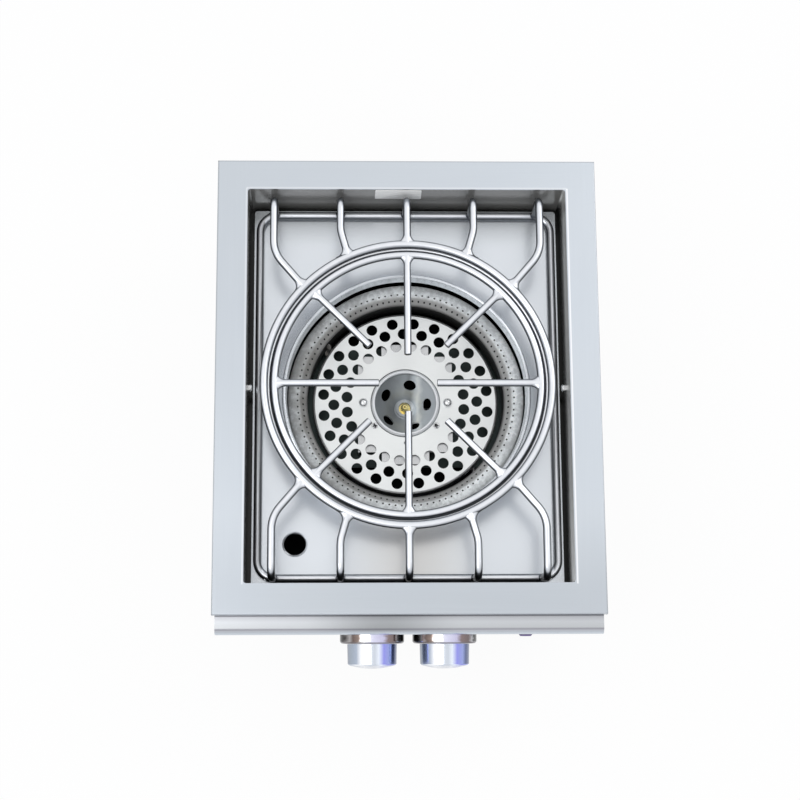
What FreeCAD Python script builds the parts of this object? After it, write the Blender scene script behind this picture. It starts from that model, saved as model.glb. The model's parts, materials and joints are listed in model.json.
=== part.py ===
import FreeCAD, Part
import math
import os

V = FreeCAD.Vector
UP = V(0, 0, 1)
BACK = V(0, 1, 0)
FRONT = V(0, -1, 0)

# All sizes are in millimetres. Depths are measured down from the top face of the rim.

# Rim and overall height
RIM_WIDTH = 390.0
RIM_DEPTH = 470.0
RIM_BORDER = 31.0
RIM_SHEET = 1.5
RIM_DROP = 9.0
RIM_RETURN = 8.0
RIM_EDGE_ROUND = 1.2
RIM_HOLE_CORNER = 3.0
HEIGHT = 245.0

# Liner, the open box below the rim
LINER_SHEET = 1.2
LEDGE_WIDTH = 18.0
STUD_RADIUS = 4.0
STUD_PROUD = 4.2
STUD_DEPTH = 45.0
STUD_BACK = 3.6

# Drip tray
TRAY_DEPTH = 57.0
TRAY_GAP = 4.9
TRAY_SHEET = 1.2
TRAY_FLANGE = 17.7
TRAY_CORNER = 3.0
WELL_GAP = 1.5
WELL_LIP_HEIGHT = 1.8
WELL_LIP_WIDTH = 4.0
WELL_COLLAR = 11.0
WELL_TAPER = 1.2
LIGHTING_HOLE_RADIUS = 11.0
LIGHTING_LIP_WIDTH = 2.0
LIGHTING_LIP_HEIGHT = 1.2
LIGHTING_X = -115.0
LIGHTING_BACK = -157.0

# Grate and wok ring, welded from round rod
GRATE_ROD = 4.1
LEG_ROD = 3.9
SUPPORT_ROD = 3.5
GRATE_SINK = 0.5
OUTER_RING_GAP = 18.0
BASE_SIDE_GAP = 11.0
BASE_END_GAP = 11.5
BASE_CORNER = 18.0
LEG_OUTSET = 4.5
LEG_SHOULDER_BEND = 12.0
LEG_SIDE_BEND = 35.0
OUTER_LEG_INSET = 16.0
CENTRE_LEG_X = 0.0
INNER_LEG_RUN = 31.5
OUTER_LEG_RUN = 55.5
INNER_LEG_ANGLE = 24.5
OUTER_LEG_ANGLE = 46.5
WOK_RING_INSET = 10.7
WOK_ROD = 4.0
WOK_SINK = 2.5
PRONG_ROD = 3.7
LONG_PRONG_END = 29.5
SHORT_PRONG_END = 55.0
PRONG_END_ROUND = 0.8
SEAT_CLEARANCE = 0.3

# Outer box, heat shield and bottom pan
BOX_SHEET = 1.0
BOX_SIDE_SETBACK = 14.0
BOX_FRONT_SETBACK = 22.0
BOX_BACK_SETBACK = 12.0
SLOT_LENGTH = 34.0
SLOT_HEIGHT = 5.0
SLOT_PITCH = 44.0
SLOT_COUNT = 6
SLOT_ROW_HEIGHT = 30.0
PAN_FLANGE = 12.0
PAN_SLOTS = 5
PAN_SLOT_PITCH = 36.0
SHIELD_DEPTH = 186.0
SHIELD_FLANGE = 14.0
SHIELD_LENGTH = 300.0

# Ring burner
RING_DEPTH = 79.0
RING_DISC_GAP = 5.5
RING_WIDTH = 20.5
RING_STEP = 9.5
RING_SLOPE_DROP = 8.0
RING_HEIGHT = 31.5
RING_SHEET = 1.2
RING_EDGE = 2.0
RING_BASE_SHEET = 1.5

# Diffuser disc, hat bracket and cross bracket
DISC_DEPTH = 99.0
DISC_RADIUS = 98.0
DISC_SHEET = 1.2
DISC_ROLL = 2.4
DISC_EDGE = 13.0
DISC_HOLE = 5.8
DISC_ROW_INSETS = (35.8, 22.2, 10.9)
DISC_HOLE_TURN = 1.35
DISC_HOLES_PER_ROW = 24
DISC_CENTRE_HOLE = 37.0
DISC_SPARE_HOLE_BACK = -43.0
HAT_DEPTH = 104.0
HAT_SHEET = 1.2
HAT_WIDTH_INSET = 33.0
HAT_LENGTH_INSET = 48.0
HAT_FOOT = 8.0
HAT_TONGUE = 25.0
HAT_TONGUE_LENGTH = 13.0
BRACKET_DEPTH = 122.0
BRACKET_SHEET = 1.5
BRACKET_FROM_LEDGE = 4.0
BRACKET_FOOT = 12.0
STANDOFF_RADIUS = 5.0
STANDOFF_BACK = 45.0
DISC_STUD_X = 44.5
DISC_STUD_RADIUS = 2.5
DISC_SPACER_RADIUS = 4.0
NUT_FLATS = 4.6
NUT_HEIGHT = 3.2
NUT_DOME = 3.0
STUD_ABOVE_DISC = 3.6
DISC_SCREW_X = 32.6
DISC_SCREW_BACK = -24.4
SCREW_HEAD_RADIUS = 3.3
SCREW_SHANK_RADIUS = 1.9
SCREW_CLEARANCE = 0.2

# Jet cup in the middle
CUP_RIM_DEPTH = 97.0
CUP_RADIUS = 36.0
CUP_MOUTH = 32.25
CUP_STRAIGHT = 6.5
CUP_BEVEL = 1.8
CUP_LIP_DROP = 3.5
CUP_WALL_HOLE_TOOL = 10.0
CUP_BOTTOM_DEPTH = 128.5
CUP_BOTTOM_RADIUS = 11.0
CUP_SHEET = 1.3
CUP_FLANGE_RADIUS = 46.0
CUP_WALL_HOLE = 6.6
CUP_WALL_HOLES = 5
CUP_WALL_HOLE_REACH = 23.5
CUP_WALL_HOLE_START = 5.0
CUP_FLOOR_HOLE = 6.5
COLLAR_RADIUS = 8.9
COLLAR_HEIGHT = 4.0
JET_RADIUS = 4.2
JET_TIP_RADIUS = 2.2
JET_TIP_HEIGHT = 3.5
JET_HEIGHT = 12.4
JET_BASE_RADIUS = 6.2
JET_BASE_HEIGHT = 2.0
JET_BORE = 0.9
HOLDER_RADIUS = 11.0
HOLDER_HEIGHT = 21.0

# Igniter electrode, in the gap between the disc and the ring burner
IGNITER_ANGLE = 143.4
IGNITER_RADIUS = 2.2
IGNITER_TOP_DEPTH = 92.0
IGNITER_COLLAR = 4.5
IGNITER_COLLAR_HEIGHT = 5.0
IGNITER_TAIL = 12.0
IGNITER_WIRE = 0.8
IGNITER_WIRE_HEIGHT = 8.0

# Control panel
PANEL_SIDE_GAP = 2.7
PANEL_SHEET = 1.2
PANEL_TOP_GAP = 1.5
PANEL_TOP_FALL = 1.5
PANEL_TOP_REACH = 13.0
LIP_REACH = 17.8
LIP_RADIUS = 9.1
LIP_DEPTH = 20.0
FACE_SETBACK = 7.0
PANEL_SLOPE = 7.0
PANEL_BOTTOM_DEPTH = 146.0
PANEL_INLET_GAP = 36.0
PANEL_FLANGE = 8.0
PANEL_BACK_FLANGE = 27.0
PANEL_CORNER = 4.0

# Knobs, bezels and lit rings
KNOB_X = 36.6
KNOB_DEPTH = 62.0
KNOB_RADIUS = 25.3
KNOB_TAPER = 0.6
KNOB_OUT = 21.4
KNOB_DOME = 3.6
KNOB_EDGE = 1.2
KNOB_WALL = 2.2
KNOB_TRAVEL = 3.0
KNOB_REST_GAP = 3.6
KNOB_HUB = 8.0
KNOB_SOCKET = 9.0
BEZEL_RADIUS = 32.5
BEZEL_BORE = 27.0
BEZEL_LENGTH = 11.7
BEZEL_ROUND = 3.0
GLOW_RING_RADIUS = 26.5
GLOW_RING_BORE = 18.0
GLOW_RING_LENGTH = 2.5

# Gas valves
STEM_RADIUS = 4.0
STEM_FLAT = 2.6
RUNNING_CLEARANCE = 0.05
PANEL_STEM_HOLE = 8.0
BONNET_SETBACK = 1.5
BONNET_LENGTH = 5.0
BONNET_WIDTH = 30.0
BONNET_EAR_INSET = 3.0
VALVE_RADIUS = 12.0
VALVE_LENGTH = 21.0
VALVE_END_WALL = 3.0
PLUG_RADIUS = 7.0
PLUG_BORE_DEPTH = 11.0
OUTLET_RADIUS = 6.5
OUTLET_LENGTH = 8.0
INLET_RADIUS = 5.0

# Manifold, inlet and feed tubes
MANIFOLD_BELOW = 32.0
MANIFOLD_RADIUS = 8.6
MANIFOLD_BORE = 6.2
MANIFOLD_HALF = 56.0
BOSS_RADIUS = 7.5
BOSS_HEIGHT = 3.0
INLET_NUT_FLATS = 9.0
INLET_NUT_HEIGHT = 10.0
INLET_PIN_RADIUS = 7.9
INLET_PIN_LENGTH = 16.0
INLET_BORE = 4.6
FEED_RADIUS = 4.0
FEED_BORE = 3.0
FEED_BEND = 12.0
FEED_X = 75.0
RING_FEED_DEPTH = 126.0
JET_FEED_DEPTH = 140.0
FEED_HOLE_CLEARANCE = 1.5
ORIFICE_RADIUS = 6.0
ORIFICE_LENGTH = 15.0
ORIFICE_TIP_RADIUS = 3.5
ORIFICE_TIP_LENGTH = 5.0
ORIFICE_BORE = 0.9
ORIFICE_START = 34.0
MIXER_RADIUS = 9.5
MIXER_WALL = 1.2
MIXER_BEND = 11.5
MIXER_BELL_RADIUS = 13.5
MIXER_BELL_LENGTH = 12.0
MIXER_OVERLAP = 3.0

# Push button and spark module
BUTTON_X = 118.9
BUTTON_RADIUS = 6.6
BUTTON_PROUD = 4.6
BUTTON_TRAVEL = 2.0
BUTTON_LENGTH = 15.0
BUTTON_HOUSING_RADIUS = 9.0
BUTTON_FLANGE_RADIUS = 10.5
BUTTON_FLANGE_LENGTH = 1.4
BUTTON_HOUSING_LENGTH = 20.0
BUTTON_RETAINER = 7.6
BUTTON_RETAINER_LENGTH = 2.0
BUTTON_CHAMFER = 1.2
BUTTON_HOUSING_END = 1.5
MODULE_SIDE_GAP = 26.0
MODULE_WIDTH = 50.0
MODULE_THICKNESS = 22.0
MODULE_HEIGHT = 34.0
MODULE_DEPTH = 100.0
MODULE_ROUND = 3.0
MODULE_TERMINALS = 4
TERMINAL_PITCH = 9.0
TERMINAL_RADIUS = 2.0
TERMINAL_LENGTH = 5.0

# Small screws
SCREW_RADIUS = 3.6
SCREW_HEAD_HEIGHT = 2.0
PANEL_SCREW_RADIUS = 3.0
PANEL_SCREWS = 4
PANEL_SCREW_PITCH = 100.0
PAN_SCREW_PITCH = 156.0

# Places worked out from the sizes above
TOP = HEIGHT
SLOPE = math.radians(PANEL_SLOPE)
DOME_BASE = KNOB_RADIUS - KNOB_TAPER - KNOB_EDGE
DOME_RADIUS = (DOME_BASE ** 2 + KNOB_DOME ** 2) / (2 * KNOB_DOME)
KNOB_REACH = BEZEL_LENGTH + KNOB_OUT + KNOB_DOME
FACE_REACH = LIP_REACH - FACE_SETBACK
FRONT_REACH = FACE_REACH + DOME_RADIUS - (DOME_RADIUS - KNOB_REACH) * math.cos(SLOPE)
CY = FRONT_REACH / 2
RIM_FRONT = CY - RIM_DEPTH / 2
OPENING_WIDTH = RIM_WIDTH - 2 * RIM_BORDER
OPENING_DEPTH = RIM_DEPTH - 2 * RIM_BORDER
BOX_WIDTH = RIM_WIDTH - 2 * BOX_SIDE_SETBACK
PANEL_WIDTH = RIM_WIDTH - 2 * PANEL_SIDE_GAP
RING_INNER = DISC_RADIUS + RING_DISC_GAP
RING_FLAT_INNER = RING_INNER + RING_STEP
RING_OUTER = RING_INNER + RING_WIDTH
WELL_RADIUS = RING_OUTER + WELL_GAP
BASE_WIDTH = OPENING_WIDTH - 2 * BASE_SIDE_GAP
BASE_DEPTH = OPENING_DEPTH - 2 * BASE_END_GAP
OUTER_RING = OPENING_WIDTH / 2 - OUTER_RING_GAP
WOK_RING = OUTER_RING - WOK_RING_INSET
LEG_PITCH = (BASE_WIDTH / 2 - OUTER_LEG_INSET) / 2
BRACKET_HALF_LENGTH = OPENING_WIDTH / 2 - LEDGE_WIDTH + BRACKET_FROM_LEDGE
LEDGE_TOP = TOP - TRAY_DEPTH - TRAY_FLANGE
LEDGE_BOTTOM = LEDGE_TOP - LINER_SHEET
TRAY_TOP = TOP - TRAY_DEPTH
BASE_Z = TRAY_TOP + SEAT_CLEARANCE + GRATE_ROD
OUTER_RING_Z = TOP - GRATE_SINK - GRATE_ROD
WOK_Z = OUTER_RING_Z - WOK_SINK
BOX_FRONT = RIM_FRONT + BOX_FRONT_SETBACK
BOX_BACK = RIM_FRONT + RIM_DEPTH - BOX_BACK_SETBACK
FACE_Y = RIM_FRONT - FACE_REACH
FACE_BACK = FACE_Y + PANEL_SHEET
STEM_Z = TOP - KNOB_DEPTH
BONNET_Y = FACE_BACK + BONNET_SETBACK
VALVE_Y = BONNET_Y + BONNET_LENGTH
GAS_Y = VALVE_Y + VALVE_LENGTH / 2
RING_BASE_TOP = TOP - RING_DEPTH - RING_HEIGHT
RING_BASE_BOTTOM = RING_BASE_TOP - RING_BASE_SHEET
BRACKET_TOP = TOP - BRACKET_DEPTH
HAT_TOP = TOP - HAT_DEPTH
HAT_HALF_WIDTH = DISC_RADIUS - HAT_WIDTH_INSET
HAT_HALF_LENGTH = DISC_RADIUS - HAT_LENGTH_INSET
DISC_TOP = TOP - DISC_DEPTH
CUP_UNDERSIDE = TOP - CUP_BOTTOM_DEPTH - CUP_SHEET
MODULE_X = -(BOX_WIDTH / 2 - MODULE_SIDE_GAP - MODULE_WIDTH / 2)


def block(size, centre, z0, corner=0.0):
    """Upright block of a size (x, y, z), with its four upright edges rounded."""
    low = V(centre[0] - size[0] / 2, centre[1] - size[1] / 2, z0)
    solid = Part.makeBox(size[0], size[1], size[2], low)
    if corner > 0:
        upright = [e for e in solid.Edges if abs(e.tangentAt(e.FirstParameter).z) > 0.99]
        solid = solid.makeFillet(corner, upright)
    return solid


def rod(radius, length, base, direction=UP):
    """Straight round bar."""
    return Part.makeCylinder(radius, length, base, direction)


def pipe(radius, bore, length, base, direction=UP):
    """Straight round tube."""
    return rod(radius, length, base, direction).cut(rod(bore, length, base, direction))


def turned(points, base=V(0, 0, 0), along_y=False):
    """Solid turned from a closed outline of (radius, height) points about the upright axis at base,
    or about a front to back axis, where height is measured backwards."""
    if along_y:
        corners = [V(base.x + r, base.y + h, base.z) for r, h in points]
        axis = BACK
    else:
        corners = [V(base.x + r, base.y, base.z + h) for r, h in points]
        axis = UP
    outline = Part.makePolygon(corners + [corners[0]])
    return Part.Face(outline).revolve(base, axis, 360)


def ring(ring_radius, rod_radius, z):
    """Closed ring of round rod, flat about the burner's axis."""
    return Part.makeTorus(ring_radius, rod_radius, V(0, CY, z), UP)


def bent_path(points, bends):
    """Path through the points, with an arc at each inner corner."""
    edges = []
    start = points[0]
    for before, corner, after, bend in zip(points, points[1:], points[2:], bends):
        into = (corner - before).normalize()
        out = (after - corner).normalize()
        half_turn = into.getAngle(out) / 2
        reach = bend * math.tan(half_turn)
        inward = (out - into).normalize()
        first = corner - into * reach
        last = corner + out * reach
        middle = corner + inward * (bend / math.cos(half_turn) - bend)
        edges.append(Part.LineSegment(start, first).toShape())
        edges.append(Part.Arc(first, middle, last).toShape())
        start = last
    edges.append(Part.LineSegment(start, points[-1]).toShape())
    return Part.Wire(edges)


def bent_rod(points, radius, *bends):
    """Round bar bent along the points, with the last bend radius used for all that follow."""
    section = Part.Face(Part.Wire(Part.makeCircle(radius, points[0], points[1] - points[0])))
    return bent_path(points, bends + bends[-1:] * len(points)).makePipe(section)


def bent_tube(points, radius, bore, bend):
    """Round tube bent along the points."""
    return bent_rod(points, radius, bend).cut(bent_rod(points, bore, bend))


def place(x, back, z):
    """Point given from the middle of the rim opening."""
    return V(x, CY + back, z)


def on_circle(radius, degrees, z):
    """Point on a circle about the burner's axis, counted from the right-hand side."""
    angle = math.radians(degrees)
    return place(radius * math.cos(angle), radius * math.sin(angle), z)


def on_slope(x, back, up):
    """Point given from the middle of the knobs, along their axes and up the sloping face."""
    return V(x, FACE_Y + back * math.cos(SLOPE) - up * math.sin(SLOPE),
             STEM_Z + back * math.sin(SLOPE) + up * math.cos(SLOPE))


def sloped(shape):
    """Shape that was made upright, turned square to the sloping knob face."""
    shape.rotate(V(0, FACE_Y, STEM_Z), V(1, 0, 0), PANEL_SLOPE)
    return shape


def hexagon(flats, height, base, direction=UP):
    """Hexagonal bar, given half of its width across flats."""
    corner = flats / math.cos(math.radians(30))
    points = [V(corner * math.cos(math.radians(60 * i)), corner * math.sin(math.radians(60 * i)), 0)
              for i in range(7)]
    bar = Part.Face(Part.makePolygon(points)).extrude(V(0, 0, height))
    turn = FreeCAD.Rotation(UP, direction)
    bar.Placement = FreeCAD.Placement(base, turn)
    return bar


def group(solids):
    """Separate solids kept in one file."""
    return Part.makeCompound(solids)


# Rim and liner

def top_frame():
    """Rim with its edges turned down, and turned in again except over the control panel."""
    plate = block((RIM_WIDTH, RIM_DEPTH, RIM_DROP), (0, CY), TOP - RIM_DROP)
    top_edges = [e for e in plate.Edges if e.BoundBox.ZMin > TOP - RIM_EDGE_ROUND]
    plate = plate.makeFillet(RIM_EDGE_ROUND, top_edges)
    inside = block((RIM_WIDTH - 2 * RIM_SHEET, RIM_DEPTH - 2 * RIM_SHEET, RIM_DROP - 2 * RIM_SHEET),
                   (0, CY), TOP - RIM_DROP + RIM_SHEET)
    under_depth = RIM_DEPTH - RIM_SHEET - RIM_RETURN
    under = block((RIM_WIDTH - 2 * RIM_RETURN, under_depth, RIM_SHEET),
                  (0, RIM_FRONT + RIM_SHEET + under_depth / 2), TOP - RIM_DROP)
    hole = block((OPENING_WIDTH, OPENING_DEPTH, RIM_DROP), (0, CY), TOP - RIM_DROP, RIM_HOLE_CORNER)
    over_panel = BOX_FRONT + PANEL_TOP_GAP - RIM_FRONT
    panel_notch = block((RIM_WIDTH - 2 * RIM_SHEET, over_panel, RIM_SHEET),
                        (0, RIM_FRONT + over_panel / 2), TOP - RIM_DROP)
    return plate.cut([inside, under, hole, panel_notch])


def liner():
    height = TOP - RIM_SHEET - LEDGE_BOTTOM
    outer = block((OPENING_WIDTH + 2 * LINER_SHEET, OPENING_DEPTH + 2 * LINER_SHEET, height),
                  (0, CY), LEDGE_BOTTOM, RIM_HOLE_CORNER + LINER_SHEET)
    inner = block((OPENING_WIDTH, OPENING_DEPTH, height), (0, CY), LEDGE_TOP, RIM_HOLE_CORNER)
    floor_hole = block((OPENING_WIDTH - 2 * LEDGE_WIDTH, OPENING_DEPTH - 2 * LEDGE_WIDTH, height),
                       (0, CY), LEDGE_BOTTOM, RIM_HOLE_CORNER)
    return outer.cut([inner, floor_hole])


def side_studs():
    """Domed stud on each side wall of the liner."""
    wall = OPENING_WIDTH / 2
    studs = []
    for side in (-1, 1):
        base = place(side * wall, STUD_BACK, TOP - STUD_DEPTH)
        head = rod(STUD_RADIUS, STUD_PROUD, base, V(-side, 0, 0))
        inner = [e for e in head.Edges if abs(e.BoundBox.Center.x) < wall - STUD_PROUD + 0.01
                 and e.Curve.TypeId == "Part::GeomCircle"]
        studs.append(head.makeFillet(STUD_RADIUS / 2, inner))
    return group(studs)


# Drip tray

def rolled_lip(hole_radius, width, height, collar, taper, x, back):
    """Raised lip round a hole, with its collar turned down inside."""
    sheet = TRAY_SHEET
    outline = [(hole_radius + width, -sheet), (hole_radius + width, 0),
               (hole_radius + width * 0.7, height * 0.8), (hole_radius + width * 0.4, height),
               (hole_radius + sheet * 0.4, height * 0.6), (hole_radius, 0),
               (hole_radius - taper, -collar), (hole_radius - taper + sheet, -collar),
               (hole_radius + sheet, -sheet)]
    return turned(outline, place(x, back, TRAY_TOP))


def drip_tray():
    width = OPENING_WIDTH - 2 * TRAY_GAP
    depth = OPENING_DEPTH - 2 * TRAY_GAP
    base = TRAY_TOP - TRAY_FLANGE
    shell = block((width, depth, TRAY_FLANGE), (0, CY), base, TRAY_CORNER)
    shell = shell.cut(block((width - 2 * TRAY_SHEET, depth - 2 * TRAY_SHEET, TRAY_FLANGE - TRAY_SHEET),
                            (0, CY), base, TRAY_CORNER - TRAY_SHEET))
    well = rod(WELL_RADIUS + WELL_LIP_WIDTH, TRAY_FLANGE, place(0, 0, base))
    light = rod(LIGHTING_HOLE_RADIUS + LIGHTING_LIP_WIDTH, TRAY_FLANGE,
                place(LIGHTING_X, LIGHTING_BACK, base))
    shell = shell.cut([well, light])
    well_lip = rolled_lip(WELL_RADIUS, WELL_LIP_WIDTH, WELL_LIP_HEIGHT, WELL_COLLAR, WELL_TAPER, 0, 0)
    light_lip = rolled_lip(LIGHTING_HOLE_RADIUS, LIGHTING_LIP_WIDTH, LIGHTING_LIP_HEIGHT,
                           TRAY_SHEET * 2, 0, LIGHTING_X, LIGHTING_BACK)
    return shell.fuse([well_lip, light_lip]).removeSplitter()


# Grate

def grate_base_frame():
    """Closed rectangle of round rod with bent corners."""
    x = BASE_WIDTH / 2
    y = BASE_DEPTH / 2
    start = place(0, -y, BASE_Z)
    corners = [place(x, -y, BASE_Z), place(x, y, BASE_Z), place(-x, y, BASE_Z), place(-x, -y, BASE_Z)]
    half = place(0, y, BASE_Z)
    right = bent_rod([start, corners[0], corners[1], half], GRATE_ROD, BASE_CORNER)
    left = bent_rod([start, corners[3], corners[2], half], GRATE_ROD, BASE_CORNER)
    return right.fuse(left).removeSplitter()


def grate_legs(base_frame, outer_ring):
    """Ten legs, from the base frame up and over to the outer ring, cut to fit both."""
    places = [(CENTRE_LEG_X, 0.0, OUTER_RING),
              (LEG_PITCH, INNER_LEG_ANGLE, BASE_DEPTH / 2 - INNER_LEG_RUN),
              (2 * LEG_PITCH, OUTER_LEG_ANGLE, BASE_DEPTH / 2 - OUTER_LEG_RUN)]
    legs = []
    for end in (-1, 1):
        for x, angle, bend_back in places:
            sides = (1,) if x == CENTRE_LEG_X else (-1, 1)
            for side in sides:
                legs.append(grate_leg(side * x, end, side * angle, bend_back))
    return group([leg.cut([base_frame, outer_ring]) for leg in legs])


def grate_leg(x, end, angle, bend_back):
    turn = math.radians(angle)
    foot = place(x, end * BASE_DEPTH / 2, BASE_Z)
    shoulder = place(x, end * (BASE_DEPTH / 2 + LEG_OUTSET), OUTER_RING_Z)
    weld = place(OUTER_RING * math.sin(turn), end * OUTER_RING * math.cos(turn), OUTER_RING_Z)
    if angle == 0:
        return bent_rod([foot, shoulder, weld], LEG_ROD, LEG_SHOULDER_BEND)
    bend = place(x, end * bend_back, OUTER_RING_Z)
    return bent_rod([foot, shoulder, bend, weld], LEG_ROD, LEG_SHOULDER_BEND, LEG_SIDE_BEND)


def support_ring_place():
    """Ring radius and height at which the support ring touches the outer ring from below and
    leaves its clearance under the wok ring."""
    across = OUTER_RING - WOK_RING
    apart = math.hypot(across, WOK_SINK)
    to_outer = GRATE_ROD + SUPPORT_ROD
    to_wok = WOK_ROD + SUPPORT_ROD + SEAT_CLEARANCE
    along = (to_outer ** 2 - to_wok ** 2 + apart ** 2) / (2 * apart)
    aside = math.sqrt(to_outer ** 2 - along ** 2)
    radius = OUTER_RING - along * across / apart + aside * WOK_SINK / apart
    z = OUTER_RING_Z - along * WOK_SINK / apart - aside * across / apart
    return radius, z


def wok_prongs(wok_ring):
    """Eight prongs, four long and four short in turn, cut to fit the wok ring."""
    prongs = []
    for i in range(8):
        end = LONG_PRONG_END if i % 2 == 0 else SHORT_PRONG_END
        outer = on_circle(WOK_RING, 45 * i, WOK_Z)
        tip = on_circle(end, 45 * i, WOK_Z)
        prong = rod(PRONG_ROD, (outer - tip).Length, tip, outer - tip)
        tip_edge = [e for e in prong.Edges if e.Curve.TypeId == "Part::GeomCircle"
                    and (e.BoundBox.Center - tip).Length < PRONG_ROD]
        prong = prong.makeFillet(PRONG_END_ROUND, tip_edge)
        prongs.append(prong.cut(wok_ring))
    return group(prongs)


# Outer box, heat shield and bottom pan

def air_slots(length, count, pitch, centre, z, along_x):
    """Row of round-ended air slots through a wall."""
    slots = []
    for i in range(count):
        shift = (i - (count - 1) / 2) * pitch
        size = (length, 6 * BOX_SHEET, SLOT_HEIGHT) if along_x else (6 * BOX_SHEET, length, SLOT_HEIGHT)
        middle = (centre[0] + shift, centre[1]) if along_x else (centre[0], centre[1] + shift)
        slots.append(block(size, middle, z))
    return slots


def outer_box():
    depth = BOX_BACK - BOX_FRONT
    middle = (BOX_FRONT + BOX_BACK) / 2
    height = TOP - RIM_SHEET - BOX_SHEET
    walls = block((BOX_WIDTH, depth, height), (0, middle), BOX_SHEET)
    walls = walls.cut(block((BOX_WIDTH - 2 * BOX_SHEET, depth - 2 * BOX_SHEET, height),
                            (0, middle), BOX_SHEET))
    tools = []
    for side in (-1, 1):
        wall_x = side * BOX_WIDTH / 2
        tools += air_slots(SLOT_LENGTH, SLOT_COUNT, SLOT_PITCH, (wall_x, CY), SLOT_ROW_HEIGHT, False)
        tools += air_slots(SLOT_LENGTH, SLOT_COUNT, SLOT_PITCH, (wall_x, CY),
                           SLOT_ROW_HEIGHT + 3 * SLOT_HEIGHT, False)
    tools += air_slots(SLOT_LENGTH, SLOT_COUNT, SLOT_PITCH, (0, BOX_BACK), SLOT_ROW_HEIGHT, True)
    hole = FEED_RADIUS + FEED_HOLE_CLEARANCE
    for x, depth_down in ((-FEED_X, RING_FEED_DEPTH), (FEED_X, JET_FEED_DEPTH)):
        tools.append(rod(hole, 4 * BOX_SHEET, V(x, BOX_FRONT - BOX_SHEET, TOP - depth_down), BACK))
    return walls.cut(tools)


def bottom_pan():
    width = BOX_WIDTH - 2 * BOX_SHEET
    depth = BOX_BACK - BOX_FRONT - 2 * BOX_SHEET
    middle = (BOX_FRONT + BOX_BACK) / 2
    plate = block((BOX_WIDTH, depth + 2 * BOX_SHEET, BOX_SHEET), (0, middle), 0)
    flange = block((width, depth, PAN_FLANGE), (0, middle), BOX_SHEET)
    flange = flange.cut(block((width - 2 * BOX_SHEET, depth - 2 * BOX_SHEET, PAN_FLANGE),
                              (0, middle), BOX_SHEET))
    slots = []
    for row in (-1, 1):
        for i in range(PAN_SLOTS):
            shift = (i - (PAN_SLOTS - 1) / 2) * PAN_SLOT_PITCH
            slots.append(block((SLOT_HEIGHT, 2 * SLOT_LENGTH, 2 * BOX_SHEET),
                               (shift, middle + row * 2 * SLOT_LENGTH), -BOX_SHEET / 2))
    return plate.fuse(flange).removeSplitter().cut(slots)


def heat_shield():
    """Tray of thin sheet under the burners, its upturned sides on the box walls."""
    width = BOX_WIDTH - 2 * BOX_SHEET
    z = TOP - SHIELD_DEPTH
    shell = block((width, SHIELD_LENGTH, SHIELD_FLANGE), (0, CY), z)
    return shell.cut(block((width - 2 * BOX_SHEET, SHIELD_LENGTH, SHIELD_FLANGE), (0, CY),
                           z + BOX_SHEET))


# Ring burner

def ring_burner_cover():
    """Pressed cover: outer wall, flat top, slope to the inner lip and inner wall."""
    s = RING_SHEET
    slope_foot = RING_FLAT_INNER - RING_SLOPE_DROP
    outer = [(RING_OUTER, -RING_HEIGHT), (RING_OUTER, -RING_EDGE), (RING_OUTER - RING_EDGE, 0),
             (RING_FLAT_INNER, 0), (slope_foot, -RING_SLOPE_DROP),
             (RING_INNER, -RING_SLOPE_DROP), (RING_INNER, -RING_HEIGHT)]
    inner = [(RING_INNER + s, -RING_HEIGHT), (RING_INNER + s, -RING_SLOPE_DROP - s),
             (slope_foot + s * 0.4, -RING_SLOPE_DROP - s), (RING_FLAT_INNER + s * 0.4, -s),
             (RING_OUTER - RING_EDGE - s * 0.4, -s), (RING_OUTER - s, -RING_EDGE - s * 0.4),
             (RING_OUTER - s, -RING_HEIGHT)]
    return turned(outer + inner, place(0, 0, TOP - RING_DEPTH))


def ring_inlet_back():
    """How far in front of the middle the mixer tube meets the ring burner."""
    middle = (RING_OUTER + RING_INNER) / 2
    return -math.sqrt(middle ** 2 - FEED_X ** 2)


def ring_burner_base():
    plate = pipe(RING_OUTER, RING_INNER, RING_BASE_SHEET, place(0, 0, RING_BASE_BOTTOM))
    inlet = rod(MIXER_RADIUS - MIXER_WALL, 3 * RING_BASE_SHEET,
                place(-FEED_X, ring_inlet_back(), RING_BASE_BOTTOM - RING_BASE_SHEET))
    return plate.cut(inlet)


def ring_mixer_tube():
    """Mixing tube with a bell mouth at the front, turned up into the ring burner's base."""
    z = TOP - RING_FEED_DEPTH
    mouth_y = RIM_FRONT + ORIFICE_START + ORIFICE_LENGTH - MIXER_OVERLAP
    start = V(-FEED_X, mouth_y + MIXER_BELL_LENGTH, z)
    corner = place(-FEED_X, ring_inlet_back(), z)
    end = place(-FEED_X, ring_inlet_back(), RING_BASE_BOTTOM)
    tube = bent_tube([start, corner, end], MIXER_RADIUS, MIXER_RADIUS - MIXER_WALL, MIXER_BEND)
    bell = turned([(MIXER_BELL_RADIUS, 0), (MIXER_RADIUS, MIXER_BELL_LENGTH),
                   (MIXER_RADIUS - MIXER_WALL, MIXER_BELL_LENGTH),
                   (MIXER_BELL_RADIUS - MIXER_WALL, 0)], V(-FEED_X, mouth_y, z), along_y=True)
    return tube.fuse(bell)


def ring_standoffs():
    """Four spacers that carry the ring burner on the cross bracket."""
    middle = (RING_OUTER + RING_INNER) / 2
    x = math.sqrt(middle ** 2 - STANDOFF_BACK ** 2)
    height = RING_BASE_BOTTOM - BRACKET_TOP
    return group([rod(STANDOFF_RADIUS, height, place(sx * x, sy * STANDOFF_BACK, BRACKET_TOP))
                  for sx in (-1, 1) for sy in (-1, 1)])


# Diffuser disc and its brackets

def disc_screw_holes(z, height, radius=SCREW_SHANK_RADIUS + SCREW_CLEARANCE):
    return [rod(radius, height, place(side * DISC_SCREW_X, DISC_SCREW_BACK, z)) for side in (-1, 1)]


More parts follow.
